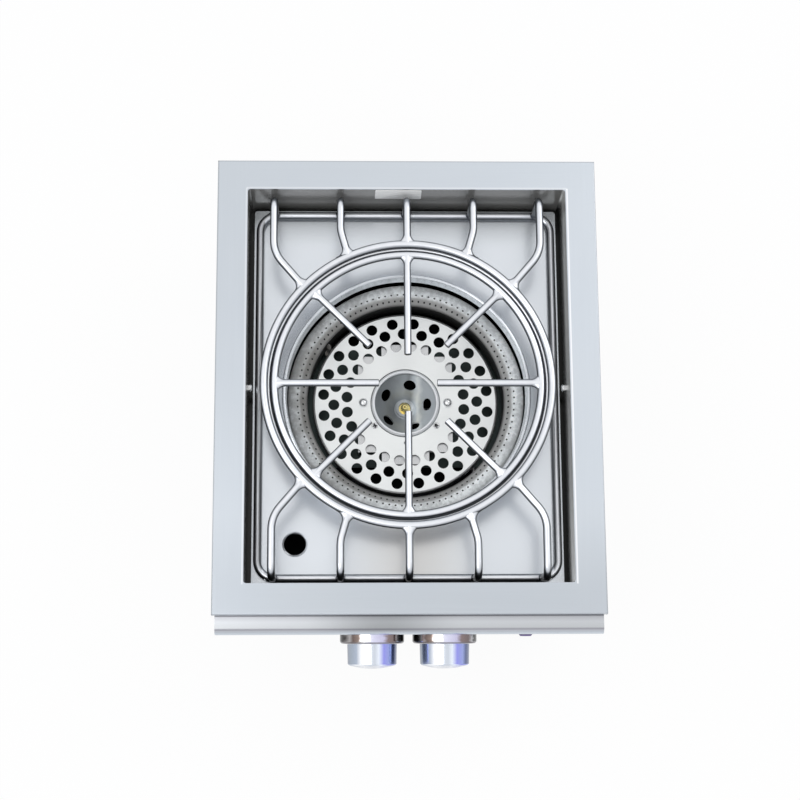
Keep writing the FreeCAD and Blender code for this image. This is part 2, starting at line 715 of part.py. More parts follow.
def diffuser_disc():
    """Disc with a rolled-down edge, three rows of holes and the hole for the jet cup."""
    s = DISC_SHEET
    r = DISC_RADIUS
    roll = DISC_ROLL
    slant = roll * (1 - math.sqrt(0.5))
    outline = [(DISC_CENTRE_HOLE, 0), (r - roll, 0), (r - slant, -slant), (r, -roll), (r, -DISC_EDGE),
               (r - s, -DISC_EDGE), (r - s, -roll), (r - slant - s * 0.7, -slant - s * 0.7),
               (r - roll, -s), (DISC_CENTRE_HOLE, -s)]
    disc = turned(outline, place(0, 0, DISC_TOP))
    step = 360 / DISC_HOLES_PER_ROW
    tools = []
    for row, inset in enumerate(DISC_ROW_INSETS):
        radius = DISC_RADIUS - inset
        start = DISC_HOLE_TURN + (0 if row % 2 else step / 2)
        for i in range(DISC_HOLES_PER_ROW):
            tools.append(rod(DISC_HOLE, 4 * s, on_circle(radius, start + i * step, DISC_TOP - 2 * s)))
    for side in (-1, 1):
        tools.append(rod(DISC_STUD_RADIUS + SCREW_CLEARANCE, 4 * s,
                         place(side * DISC_STUD_X, 0, DISC_TOP - 2 * s)))
    tools.append(rod(SCREW_SHANK_RADIUS, 4 * s, place(0, DISC_SPARE_HOLE_BACK, DISC_TOP - 2 * s)))
    tools += disc_screw_holes(DISC_TOP - 2 * s, 4 * s)
    for side in (-1, 1):
        tools.append(screw_head(side, SCREW_CLEARANCE))
    return disc.cut(tools)


def screw_head(side, grow=0.0):
    """Countersunk head of a disc screw, flush with the disc."""
    drop = DISC_SHEET
    base = place(side * DISC_SCREW_X, DISC_SCREW_BACK, DISC_TOP - drop)
    return Part.makeCone(SCREW_SHANK_RADIUS + grow, SCREW_HEAD_RADIUS + grow, drop, base, UP)


def disc_screws():
    """Two flush screws through the disc and the cup's flange into the hat bracket."""
    low = HAT_TOP - 2 * HAT_SHEET
    return group([screw_head(side).fuse(
        rod(SCREW_SHANK_RADIUS, DISC_TOP - DISC_SHEET - low,
            place(side * DISC_SCREW_X, DISC_SCREW_BACK, low))) for side in (-1, 1)])


def hat_bracket():
    """Hat-shaped plate under the disc, its feet on the cross bracket."""
    height = HAT_TOP - BRACKET_TOP
    length = 2 * HAT_HALF_LENGTH
    width = 2 * HAT_HALF_WIDTH
    hat = block((length, width, height), (0, CY), BRACKET_TOP)
    hat = hat.cut(block((length - 2 * HAT_SHEET, width, height - HAT_SHEET), (0, CY), BRACKET_TOP))
    feet = []
    for side in (-1, 1):
        foot_x = side * (HAT_HALF_LENGTH - HAT_FOOT / 2)
        feet.append(block((HAT_FOOT, width, HAT_SHEET), (foot_x, CY), BRACKET_TOP))
    hat = hat.fuse(feet).removeSplitter()
    corner_x = HAT_TONGUE + length / 2
    corner_back = HAT_HALF_WIDTH - HAT_TONGUE_LENGTH + width / 2
    corners = [block((length, width, height), (sx * corner_x, CY + sy * corner_back), BRACKET_TOP)
               for sx in (-1, 1) for sy in (-1, 1)]
    hat = hat.cut(corners)
    tools = [rod(CUP_MOUTH + CUP_SHEET + SCREW_CLEARANCE, 4 * HAT_SHEET,
                 place(0, 0, HAT_TOP - 2 * HAT_SHEET))]
    tools += disc_screw_holes(HAT_TOP - 2 * HAT_SHEET, 4 * HAT_SHEET)
    return hat.cut(tools)


def disc_studs():
    """Two studs on the hat bracket, each with a spacer under the disc."""
    studs = []
    for side in (-1, 1):
        base = place(side * DISC_STUD_X, 0, HAT_TOP)
        spacer = rod(DISC_SPACER_RADIUS, DISC_TOP - DISC_SHEET - HAT_TOP, base)
        stud = rod(DISC_STUD_RADIUS, DISC_TOP + STUD_ABOVE_DISC - HAT_TOP, base)
        studs.append(spacer.fuse(stud).removeSplitter())
    return group(studs)


def disc_nuts():
    """Dome nuts on the two studs."""
    nuts = []
    for side in (-1, 1):
        base = place(side * DISC_STUD_X, 0, DISC_TOP)
        nut = hexagon(NUT_FLATS, NUT_HEIGHT, base)
        dome_radius = (NUT_FLATS ** 2 + NUT_DOME ** 2) / (2 * NUT_DOME)
        centre = base + V(0, 0, NUT_HEIGHT + NUT_DOME - dome_radius)
        dome = Part.makeSphere(dome_radius, centre).common(
            rod(NUT_FLATS, NUT_DOME, base + V(0, 0, NUT_HEIGHT)))
        bore = rod(DISC_STUD_RADIUS + SCREW_CLEARANCE, STUD_ABOVE_DISC + SCREW_CLEARANCE, base)
        nuts.append(nut.fuse(dome).cut(bore))
    return group(nuts)


def burner_bracket():
    """Cross bracket hung from the liner's ledge at both sides."""
    rise = LEDGE_BOTTOM - BRACKET_TOP + BRACKET_SHEET
    width = 2 * HAT_HALF_WIDTH
    length = 2 * BRACKET_HALF_LENGTH
    z0 = BRACKET_TOP - BRACKET_SHEET
    trough = block((length, width, rise), (0, CY), z0)
    trough = trough.cut(block((length - 2 * BRACKET_SHEET, width, rise), (0, CY), BRACKET_TOP))
    feet = []
    for side in (-1, 1):
        foot_x = side * (BRACKET_HALF_LENGTH + BRACKET_FOOT / 2)
        feet.append(block((BRACKET_FOOT, width, BRACKET_SHEET), (foot_x, CY), z0 + rise - BRACKET_SHEET))
    shape = trough.fuse(feet).removeSplitter()
    cup_hole = rod(CUP_MOUTH, 3 * BRACKET_SHEET, place(0, 0, z0 - BRACKET_SHEET))
    electrode = rod(IGNITER_RADIUS + SCREW_CLEARANCE, 3 * BRACKET_SHEET,
                    igniter_place(z0 - BRACKET_SHEET))
    return shape.cut([cup_hole, electrode])


def bracket_screws():
    """Screws under the cross bracket's feet, into the ledge."""
    x = BRACKET_HALF_LENGTH + BRACKET_FOOT / 2
    z = LEDGE_BOTTOM - BRACKET_SHEET - SCREW_HEAD_HEIGHT
    return group([rod(SCREW_RADIUS, SCREW_HEAD_HEIGHT, place(sx * x, sy * STANDOFF_BACK, z))
                  for sx in (-1, 1) for sy in (-1, 1)])


# Jet cup

def jet_cup():
    """Bowl with a bevelled rim, a seat flange and five holes in its sloping wall."""
    s = CUP_SHEET
    floor = -(CUP_BOTTOM_DEPTH - CUP_RIM_DEPTH)
    flange = -(HAT_DEPTH - CUP_RIM_DEPTH)
    wall = CUP_MOUTH + s
    shoulder = -CUP_STRAIGHT - CUP_BEVEL / 2
    lip = -CUP_LIP_DROP
    outline = [(CUP_FLOOR_HOLE, floor), (CUP_BOTTOM_RADIUS, floor), (CUP_MOUTH, shoulder),
               (CUP_MOUTH, -CUP_BEVEL / 2), (CUP_MOUTH + CUP_BEVEL / 3, 0), (CUP_RADIUS - CUP_BEVEL, 0),
               (CUP_RADIUS, -CUP_BEVEL), (CUP_RADIUS, lip), (wall, lip), (wall, flange + s),
               (CUP_FLANGE_RADIUS, flange + s), (CUP_FLANGE_RADIUS, flange), (wall, flange),
               (wall, shoulder - s / 3), (CUP_BOTTOM_RADIUS + s / 2, floor - s),
               (CUP_FLOOR_HOLE, floor - s)]
    cup = turned(outline, place(0, 0, TOP - CUP_RIM_DEPTH))
    run = CUP_MOUTH - CUP_BOTTOM_RADIUS
    drop = CUP_BOTTOM_DEPTH - CUP_RIM_DEPTH + shoulder
    depth_at = CUP_BOTTOM_DEPTH - drop * (CUP_WALL_HOLE_REACH - CUP_BOTTOM_RADIUS) / run
    slope = math.hypot(run, drop)
    tools = []
    for i in range(CUP_WALL_HOLES):
        angle = CUP_WALL_HOLE_START + i * 360 / CUP_WALL_HOLES
        middle = on_circle(CUP_WALL_HOLE_REACH, angle, TOP - depth_at)
        outward = on_circle(1, angle, 0) - place(0, 0, 0)
        direction = (outward * drop - UP * run) * (1 / slope)
        tools.append(rod(CUP_WALL_HOLE, CUP_WALL_HOLE_TOOL,
                         middle - direction * (CUP_WALL_HOLE_TOOL / 2), direction))
    tools += disc_screw_holes(HAT_TOP - s, 3 * s)
    for side in (-1, 1):
        tools.append(rod(DISC_SPACER_RADIUS + SCREW_CLEARANCE, 3 * s,
                         place(side * DISC_STUD_X, 0, HAT_TOP - s)))
    return cup.cut(tools)


def jet_collar():
    return pipe(COLLAR_RADIUS, CUP_FLOOR_HOLE, COLLAR_HEIGHT, place(0, 0, TOP - CUP_BOTTOM_DEPTH))


def jet_orifice():
    """Brass jet, seated on its holder and standing in the cup's floor."""
    outline = [(JET_BORE, 0), (JET_BASE_RADIUS, 0), (JET_BASE_RADIUS, JET_BASE_HEIGHT),
               (JET_RADIUS, JET_BASE_HEIGHT), (JET_RADIUS, JET_HEIGHT - JET_TIP_HEIGHT),
               (JET_TIP_RADIUS, JET_HEIGHT), (JET_BORE, JET_HEIGHT)]
    return turned(outline, place(0, 0, CUP_UNDERSIDE))


def jet_holder():
    base = place(0, 0, CUP_UNDERSIDE - HOLDER_HEIGHT)
    holder = rod(HOLDER_RADIUS, HOLDER_HEIGHT, base)
    feed_z = TOP - JET_FEED_DEPTH
    gallery = rod(FEED_BORE, CUP_UNDERSIDE - feed_z, place(0, 0, feed_z))
    side = rod(FEED_BORE, HOLDER_RADIUS, place(0, 0, feed_z), V(1, 0, 0))
    seat = rod(FEED_RADIUS + SCREW_CLEARANCE, HOLDER_RADIUS / 2, place(HOLDER_RADIUS / 2, 0, feed_z),
               V(1, 0, 0))
    return holder.cut([gallery, side, seat])


# Igniter

def igniter_place(z):
    gap_middle = (DISC_RADIUS + RING_INNER) / 2
    return on_circle(gap_middle, IGNITER_ANGLE, z)


def igniter_electrode():
    """Ceramic rod through the cross bracket, with its spark wire at the top."""
    height = TOP - IGNITER_TOP_DEPTH - BRACKET_TOP
    body = rod(IGNITER_RADIUS, height + IGNITER_TAIL, igniter_place(BRACKET_TOP - IGNITER_TAIL))
    collar = rod(IGNITER_COLLAR, IGNITER_COLLAR_HEIGHT, igniter_place(BRACKET_TOP))
    wire = rod(IGNITER_WIRE, IGNITER_WIRE_HEIGHT, igniter_place(TOP - IGNITER_TOP_DEPTH))
    return body.fuse([collar, wire]).removeSplitter()


# Control panel

def face_back(z, inset=0.0):
    """Place of the sloping face, or of a face that lies the inset behind it, at a height."""
    return FACE_Y + (STEM_Z - z) * math.tan(SLOPE) + inset / math.cos(SLOPE)


def panel_outline(inset):
    """Side profile of the panel from its top edge over the lip to the sloping knob face, moved in
    by the inset."""
    top = TOP - RIM_DROP - PANEL_TOP_GAP - inset
    lip_y = RIM_FRONT - LIP_REACH + LIP_RADIUS
    lip_z = TOP - LIP_DEPTH
    radius = LIP_RADIUS - inset
    crease_y = RIM_FRONT - PANEL_TOP_REACH + inset * 0.5
    crease_z = lip_z + math.sqrt(radius ** 2 - (crease_y - lip_y) ** 2)
    bottom = TOP - PANEL_BOTTOM_DEPTH + inset
    nose = V(0, lip_y - radius, lip_z)
    crease = V(0, crease_y, crease_z)
    from_face = (lip_y - FACE_Y) * math.cos(SLOPE) + (lip_z - STEM_Z) * math.sin(SLOPE) - inset
    below = math.sqrt(radius ** 2 - from_face ** 2)
    face = V(0, lip_y - from_face * math.cos(SLOPE) + below * math.sin(SLOPE),
             lip_z - from_face * math.sin(SLOPE) - below * math.cos(SLOPE))
    corners = [V(0, BOX_FRONT, top), crease]
    low = [face, V(0, face_back(bottom, inset), bottom), V(0, BOX_FRONT, bottom), corners[0]]
    edges = [Part.LineSegment(corners[0], crease).toShape(), Part.Arc(crease, nose, face).toShape()]
    edges += [Part.LineSegment(a, b).toShape() for a, b in zip(low, low[1:])]
    return Part.Face(Part.Wire(edges))


def control_panel():
    """Folded front panel: top band, bullnose lip, knob face, bottom flange and side returns."""
    width = PANEL_WIDTH
    skin = panel_outline(0).extrude(V(width, 0, 0))
    skin.translate(V(-width / 2, 0, 0))
    inner_width = width - 2 * PANEL_SHEET
    space = panel_outline(PANEL_SHEET).extrude(V(inner_width, 0, 0))
    space.translate(V(-inner_width / 2, 0, 0))
    back_y = BOX_FRONT - PANEL_SHEET
    back_height = PANEL_BOTTOM_DEPTH
    keep = [block((PANEL_BACK_FLANGE, PANEL_SHEET, back_height),
                  (side * (width - PANEL_BACK_FLANGE) / 2, back_y + PANEL_SHEET / 2),
                  TOP - PANEL_BOTTOM_DEPTH) for side in (-1, 1)]
    space = space.cut(keep)
    low_z = TOP - PANEL_BOTTOM_DEPTH
    low_front = face_back(low_z) + PANEL_FLANGE
    low_depth = BOX_FRONT - low_front
    bottom_gap = block((inner_width - 2 * PANEL_BACK_FLANGE, low_depth, 3 * PANEL_SHEET),
                       (0, low_front + low_depth / 2), low_z - PANEL_SHEET)
    inlet_front = face_back(low_z, PANEL_SHEET)
    inlet_depth = BOX_FRONT - inlet_front
    inlet_gap = block((PANEL_INLET_GAP, inlet_depth, 3 * PANEL_SHEET),
                      (0, inlet_front + inlet_depth / 2), low_z - PANEL_SHEET)
    tools = [space, bottom_gap, inlet_gap]
    for side in (-1, 1):
        tools.append(sloped(rod(PANEL_STEM_HOLE, 4 * PANEL_SHEET,
                                V(side * KNOB_X, FACE_Y - PANEL_SHEET, STEM_Z), BACK)))
    tools.append(sloped(rod(BUTTON_HOUSING_RADIUS, 4 * PANEL_SHEET,
                            V(BUTTON_X, FACE_Y - PANEL_SHEET, STEM_Z), BACK)))
    return skin.cut(tools)


def panel_screws():
    """Screws up through the panel's bottom flange."""
    z = TOP - PANEL_BOTTOM_DEPTH - SCREW_HEAD_HEIGHT
    y = face_back(TOP - PANEL_BOTTOM_DEPTH, PANEL_SHEET) + SCREW_RADIUS
    places = [(i - (PANEL_SCREWS - 1) / 2) * PANEL_SCREW_PITCH for i in range(PANEL_SCREWS)]
    return group([rod(PANEL_SCREW_RADIUS, SCREW_HEAD_HEIGHT, V(x, y, z)) for x in places])


# Bezels, lit rings, knobs

def bezel(x):
    """Chrome bezel with a rounded front edge, open to the knob."""
    outline = [(BEZEL_BORE, 0), (BEZEL_RADIUS, 0), (BEZEL_RADIUS, -BEZEL_LENGTH), (BEZEL_BORE, -BEZEL_LENGTH)]
    body = turned(outline, V(x, FACE_Y, STEM_Z), along_y=True)
    edge = [e for e in body.Edges if abs(e.BoundBox.Center.y - (FACE_Y - BEZEL_LENGTH)) < 0.01
            and abs(e.BoundBox.XLength - 2 * BEZEL_RADIUS) < 0.5]
    return sloped(body.makeFillet(BEZEL_ROUND, edge))


def glow_ring(x):
    return sloped(pipe(GLOW_RING_RADIUS, GLOW_RING_BORE, GLOW_RING_LENGTH, V(x, FACE_Y, STEM_Z), FRONT))


def stem_section(x, y0, y1, grow=0.0):
    """Stem bar with its flat, between two places from front to back."""
    radius = STEM_RADIUS + grow
    bar = rod(radius, y1 - y0, V(x, y0, STEM_Z), BACK)
    flat_z = STEM_Z + STEM_FLAT + grow
    return bar.cut(Part.makeBox(4 * radius, y1 - y0, radius, V(x - 2 * radius, y0, flat_z)))


def knob_back():
    """Place of the knob's rear edge at rest."""
    return FACE_Y - GLOW_RING_LENGTH - KNOB_REST_GAP


def knob(x):
    """Hollow metal knob with a domed front and a hub that fits the stem's flat."""
    back = knob_back()
    edge = FACE_Y - BEZEL_LENGTH - KNOB_OUT
    front_radius = KNOB_RADIUS - KNOB_TAPER
    apex = V(0, edge - KNOB_DOME, 0)
    rim = V(DOME_BASE, edge, 0)
    half = math.asin(DOME_BASE / DOME_RADIUS) / 2
    middle = V(DOME_RADIUS * math.sin(half), apex.y + DOME_RADIUS * (1 - math.cos(half)), 0)
    points = [rim, V(front_radius, edge + KNOB_EDGE, 0), V(KNOB_RADIUS, back, 0),
              V(KNOB_RADIUS - KNOB_WALL, back, 0), V(front_radius - KNOB_WALL, edge + 2 * KNOB_WALL, 0),
              V(KNOB_HUB, edge + 2 * KNOB_WALL, 0), V(KNOB_HUB, back, 0), V(0, back, 0), apex]
    edges = [Part.LineSegment(a, b).toShape() for a, b in zip(points, points[1:])]
    edges.append(Part.Arc(apex, middle, rim).toShape())
    face = Part.Face(Part.Wire(edges))
    body = face.revolve(V(0, 0, 0), BACK, 360)
    body.translate(V(x, 0, STEM_Z))
    socket = stem_section(x, back - KNOB_SOCKET, back + 1, RUNNING_CLEARANCE)
    return sloped(body.cut(socket))


def valve_stem(x):
    """Stem from the knob's hub back into the plug, with room left for the push."""
    front = knob_back() - KNOB_SOCKET + SCREW_CLEARANCE
    back = plug_front() + PLUG_BORE_DEPTH - KNOB_TRAVEL - SEAT_CLEARANCE
    return sloped(stem_section(x, front, back))


def plug_front():
    return VALVE_Y + RUNNING_CLEARANCE


def valve_plug(x):
    """Turning plug with a blind bore for the stem and a gas port across it."""
    length = VALVE_LENGTH - VALVE_END_WALL - 2 * RUNNING_CLEARANCE
    plug = rod(PLUG_RADIUS, length, V(x, plug_front(), STEM_Z), BACK)
    bore = stem_section(x, plug_front() - 1, plug_front() + PLUG_BORE_DEPTH, RUNNING_CLEARANCE)
    return sloped(plug.cut(bore))


def valve_body(x):
    """Brass body with the plug's bore, the gas inlet below and the outlet at its outer side."""
    outward = 1 if x > 0 else -1
    body = rod(VALVE_RADIUS, VALVE_LENGTH, V(x, VALVE_Y, STEM_Z), BACK)
    outlet_base = V(x, GAS_Y, STEM_Z)
    outlet = rod(OUTLET_RADIUS, VALVE_RADIUS + OUTLET_LENGTH, outlet_base, V(outward, 0, 0))
    inlet_length = MANIFOLD_BELOW - MANIFOLD_RADIUS - BOSS_HEIGHT
    inlet = rod(INLET_RADIUS, inlet_length, outlet_base, V(0, 0, -1))
    body = body.fuse([outlet, inlet])
    chamber = rod(PLUG_RADIUS + RUNNING_CLEARANCE, VALVE_LENGTH - VALVE_END_WALL,
                  V(x, VALVE_Y, STEM_Z), BACK)
    inlet_bore = rod(FEED_BORE, inlet_length, outlet_base, V(0, 0, -1))
    outlet_bore = rod(FEED_BORE, VALVE_RADIUS + OUTLET_LENGTH, outlet_base, V(outward, 0, 0))
    return sloped(body.cut([chamber, inlet_bore, outlet_bore]))


def valve_bonnet(x):
    """Front plate that keeps the plug in, with two ears."""
    ear = VALVE_RADIUS - BONNET_EAR_INSET
    plate = block((BONNET_WIDTH, BONNET_LENGTH, 2 * ear), (x, BONNET_Y + BONNET_LENGTH / 2), STEM_Z - ear)
    hub = rod(VALVE_RADIUS, BONNET_LENGTH, V(x, BONNET_Y, STEM_Z), BACK)
    bore = rod(STEM_RADIUS + RUNNING_CLEARANCE, 2 * BONNET_LENGTH, V(x, BONNET_Y - 1, STEM_Z), BACK)
    return sloped(plate.fuse(hub).removeSplitter().cut(bore))


# Manifold, inlet, feed tubes and orifice

def manifold_place(x):
    """Point on the manifold's axis, square below the valves."""
    return on_slope(x, GAS_Y - FACE_Y, -MANIFOLD_BELOW)


def gas_manifold():
    """Closed pipe across the front, with two bosses up to the valves and one down to the inlet."""
    along = V(1, 0, 0)
    body = rod(MANIFOLD_RADIUS, 2 * MANIFOLD_HALF, manifold_place(-MANIFOLD_HALF), along)
    reach = MANIFOLD_RADIUS + BOSS_HEIGHT
    to_valve = on_slope(0, 0, 1) - on_slope(0, 0, 0)
    bosses = [rod(BOSS_RADIUS, reach, manifold_place(side * KNOB_X), to_valve) for side in (-1, 1)]
    bosses.append(rod(BOSS_RADIUS, reach, manifold_place(0), V(0, 0, -1)))
    body = body.fuse(bosses)
    end_wall = MANIFOLD_RADIUS - MANIFOLD_BORE
    bore = rod(MANIFOLD_BORE, 2 * (MANIFOLD_HALF - end_wall), manifold_place(-MANIFOLD_HALF + end_wall),
               along)
    ports = [rod(FEED_BORE, 2 * reach, manifold_place(side * KNOB_X), to_valve) for side in (-1, 1)]
    ports.append(rod(INLET_BORE, 2 * reach, manifold_place(0), V(0, 0, -1)))
    return body.cut([bore] + ports)


def inlet_fitting():
    """Flare fitting under the manifold, its threaded nose pointing down."""
    down = V(0, 0, -1)
    base = manifold_place(0) + down * (MANIFOLD_RADIUS + BOSS_HEIGHT)
    nut = hexagon(INLET_NUT_FLATS, INLET_NUT_HEIGHT, base, down)
    nose = rod(INLET_PIN_RADIUS, INLET_PIN_LENGTH, base + down * INLET_NUT_HEIGHT, down)
    bore = rod(INLET_BORE, INLET_NUT_HEIGHT + INLET_PIN_LENGTH, base, down)
    return nut.fuse(nose).cut(bore)


def feed_points(side, z):
    """Route of a feed tube from its valve's outlet outwards and then straight down."""
    outlet = on_slope(side * (KNOB_X + VALVE_RADIUS + OUTLET_LENGTH), GAS_Y - FACE_Y, 0)
    corner = V(side * FEED_X, outlet.y, outlet.z)
    return [outlet, corner, V(corner.x, corner.y, z)]


def ring_feed_tube():
    z = TOP - RING_FEED_DEPTH
    points = feed_points(-1, z) + [V(-FEED_X, RIM_FRONT + ORIFICE_START, z)]
    return bent_tube(points, FEED_RADIUS, FEED_BORE, FEED_BEND)


def jet_feed_tube():
    z = TOP - JET_FEED_DEPTH
    points = feed_points(1, z) + [V(FEED_X, CY, z), V(HOLDER_RADIUS / 2, CY, z)]
    return bent_tube(points, FEED_RADIUS, FEED_BORE, FEED_BEND)


def ring_orifice():
    """Brass orifice on the end of the ring's feed tube, its tip inside the bell mouth."""
    body = ORIFICE_LENGTH - ORIFICE_TIP_LENGTH
    outline = [(ORIFICE_BORE, 0), (ORIFICE_RADIUS, 0), (ORIFICE_RADIUS, body),
               (ORIFICE_TIP_RADIUS, body), (ORIFICE_TIP_RADIUS * 0.7, ORIFICE_LENGTH),
               (ORIFICE_BORE, ORIFICE_LENGTH)]
    return turned(outline, V(-FEED_X, RIM_FRONT + ORIFICE_START, TOP - RING_FEED_DEPTH), along_y=True)


# Push button and spark module

def button_housing():
    """Flanged sleeve through the panel, closed at the back."""
    r = BUTTON_RADIUS + RUNNING_CLEARANCE
    pocket = BUTTON_RETAINER + RUNNING_CLEARANCE
    front = -BUTTON_FLANGE_LENGTH
    lip = PANEL_SHEET
    back = BUTTON_HOUSING_LENGTH
    floor = back - BUTTON_HOUSING_END
    outline = [(r, front), (BUTTON_FLANGE_RADIUS, front), (BUTTON_FLANGE_RADIUS, 0),
               (BUTTON_HOUSING_RADIUS, 0), (BUTTON_HOUSING_RADIUS, back), (0, back), (0, floor),
               (pocket, floor), (pocket, lip), (r, lip)]
    return sloped(turned(outline, V(BUTTON_X, FACE_Y, STEM_Z), along_y=True))


def light_button():
    """Round push button, kept in by its wider tail."""
    front = -BUTTON_PROUD
    tail = PANEL_SHEET + RUNNING_CLEARANCE
    outline = [(0, front), (BUTTON_RADIUS - BUTTON_CHAMFER, front),
               (BUTTON_RADIUS, front + BUTTON_CHAMFER), (BUTTON_RADIUS, tail), (BUTTON_RETAINER, tail),
               (BUTTON_RETAINER, tail + BUTTON_RETAINER_LENGTH), (0, tail + BUTTON_RETAINER_LENGTH)]
    return sloped(turned(outline, V(BUTTON_X, FACE_Y, STEM_Z), along_y=True))


def spark_module():
    """Spark box on the front wall of the outer box, with its row of terminals underneath."""
    z0 = TOP - MODULE_DEPTH
    body = block((MODULE_WIDTH, MODULE_THICKNESS, MODULE_HEIGHT),
                 (MODULE_X, BOX_FRONT - MODULE_THICKNESS / 2), z0)
    body = body.makeFillet(MODULE_ROUND, [e for e in body.Edges if e.BoundBox.YMax < BOX_FRONT - 1])
    terminals = []
    for i in range(MODULE_TERMINALS):
        x = MODULE_X + (i - (MODULE_TERMINALS - 1) / 2) * TERMINAL_PITCH
        terminals.append(rod(TERMINAL_RADIUS, TERMINAL_LENGTH,
                             V(x, BOX_FRONT - MODULE_THICKNESS / 2, z0 - TERMINAL_LENGTH)))
    return body.fuse(terminals)


def pan_screws():
    """Screws that hold the bottom pan's flange to the box sides."""
    z = BOX_SHEET + PAN_FLANGE / 2
    screws = []
    for side in (-1, 1):
        for back in (-1, 0, 1):
            base = place(side * BOX_WIDTH / 2, back * PAN_SCREW_PITCH, z)
            screws.append(rod(SCREW_RADIUS, SCREW_HEAD_HEIGHT, base, V(side, 0, 0)))
    return group(screws)


def build():
    base_frame = grate_base_frame()
    outer_ring = ring(OUTER_RING, GRATE_ROD, OUTER_RING_Z)
    wok = ring(WOK_RING, WOK_ROD, WOK_Z)
    support_radius, support_z = support_ring_place()
    parts = {
        "top_frame": top_frame(),
        "liner": liner(),
        "side_studs": side_studs(),
        "drip_tray": drip_tray(),
        "grate_base_frame": base_frame,
        "grate_outer_ring": outer_ring,
        "grate_support_ring": ring(support_radius, SUPPORT_ROD, support_z),
        "grate_legs": grate_legs(base_frame, outer_ring),
        "wok_ring": wok,
        "wok_prongs": wok_prongs(wok),
        "outer_box": outer_box(),
        "bottom_pan": bottom_pan(),
        "pan_screws": pan_screws(),
        "heat_shield": heat_shield(),
        "ring_burner_cover": ring_burner_cover(),
        "ring_burner_base": ring_burner_base(),
        "ring_standoffs": ring_standoffs(),
        "ring_mixer_tube": ring_mixer_tube(),
        "ring_orifice": ring_orifice(),
        "ring_feed_tube": ring_feed_tube(),
        "diffuser_disc": diffuser_disc(),
        "disc_screws": disc_screws(),
        "disc_studs": disc_studs(),
        "disc_nuts": disc_nuts(),
        "hat_bracket": hat_bracket(),
        "burner_bracket": burner_bracket(),
        "bracket_screws": bracket_screws(),
        "jet_cup": jet_cup(),
        "jet_collar": jet_collar(),
        "jet_orifice": jet_orifice(),
        "jet_holder": jet_holder(),
        "jet_feed_tube": jet_feed_tube(),
        "igniter_electrode": igniter_electrode(),
        "control_panel": control_panel(),
        "panel_screws": panel_screws(),
        "gas_manifold": gas_manifold(),
        "inlet_fitting": inlet_fitting(),
        "button_housing": button_housing(),
        "light_button": light_button(),
        "spark_module": spark_module(),
    }
    for name, x in (("left", -KNOB_X), ("right", KNOB_X)):
        parts[name + "_bezel"] = bezel(x)
        parts[name + "_glow_ring"] = glow_ring(x)
        parts[name + "_knob"] = knob(x)
        parts[name + "_valve_stem"] = valve_stem(x)
        parts[name + "_valve_plug"] = valve_plug(x)
        parts[name + "_valve_bonnet"] = valve_bonnet(x)
        parts[name + "_valve_body"] = valve_body(x)
    return parts


os.makedirs("parts", exist_ok=True)
for name, shape in build().items():
    shape.exportStep("parts/" + name + ".step")
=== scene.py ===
"""Built in side burner: finishes, welds, screws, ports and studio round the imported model."""

import json
import math

import bpy
from mathutils import Matrix, Vector

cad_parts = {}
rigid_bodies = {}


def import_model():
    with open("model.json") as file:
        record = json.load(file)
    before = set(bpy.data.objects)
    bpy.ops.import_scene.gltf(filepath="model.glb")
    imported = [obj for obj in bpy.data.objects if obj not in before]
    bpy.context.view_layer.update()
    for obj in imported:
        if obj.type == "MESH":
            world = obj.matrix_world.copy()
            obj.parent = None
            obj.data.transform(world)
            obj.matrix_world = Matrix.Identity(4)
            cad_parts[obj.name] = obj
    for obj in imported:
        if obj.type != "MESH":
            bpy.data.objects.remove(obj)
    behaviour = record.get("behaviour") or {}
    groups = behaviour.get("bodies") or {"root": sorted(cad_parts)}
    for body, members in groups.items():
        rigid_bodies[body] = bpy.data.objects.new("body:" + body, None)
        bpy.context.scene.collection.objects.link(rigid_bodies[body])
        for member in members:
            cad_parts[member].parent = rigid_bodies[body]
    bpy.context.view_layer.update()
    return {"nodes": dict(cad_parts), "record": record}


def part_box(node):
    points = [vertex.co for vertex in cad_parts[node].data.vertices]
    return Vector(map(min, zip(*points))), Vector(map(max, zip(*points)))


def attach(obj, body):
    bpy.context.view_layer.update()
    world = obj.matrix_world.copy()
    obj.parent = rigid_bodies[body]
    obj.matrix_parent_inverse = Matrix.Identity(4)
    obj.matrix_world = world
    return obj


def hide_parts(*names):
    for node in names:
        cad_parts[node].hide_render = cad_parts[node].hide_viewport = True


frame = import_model()

bl_info = {
    "name": "Side Burner",
    "version": (1, 0, 0),
    "blender": (4, 5, 0),
    "location": "3D View > Sidebar > Side Burner",
    "description": "Dresses a built in side burner with its finishes, welds, screws and ports",
    "category": "Object",
}

MM = 0.001


def corners(node):
    """Lowest and highest corner of a CAD node."""
    return [Vector(corner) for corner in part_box(node)]


# Places of the CAD nodes, from the frame
RIM_LOW, RIM_HIGH = corners("top_frame")
LINER_LOW, LINER_HIGH = corners("liner")
RING_LOW, RING_HIGH = corners("ring_burner_cover")
DISC_LOW, DISC_HIGH = corners("diffuser_disc")
CUP_HIGH = corners("jet_cup")[1]
BASE_LOW, BASE_HIGH = corners("grate_base_frame")
OUTER_LOW, OUTER_HIGH = corners("grate_outer_ring")
WOK_LOW, WOK_HIGH = corners("wok_ring")
LEGS_HIGH = corners("grate_legs")[1]
HAT_LOW = corners("hat_bracket")[0]
SCREW_LOW, SCREW_HIGH = corners("disc_screws")
PAN_SCREW_LOW, PAN_SCREW_HIGH = corners("pan_screws")
PANEL_SCREW_LOW, PANEL_SCREW_HIGH = corners("panel_screws")
INLET_LOW = corners("inlet_fitting")[0]
AXIS = (DISC_LOW + DISC_HIGH) / 2

# Sizes repeated from the part's source, or worked out from it
PRONG_ROD = 3.7 * MM
LEG_ROD = 3.9 * MM
LEG_PITCH = 68.5 * MM
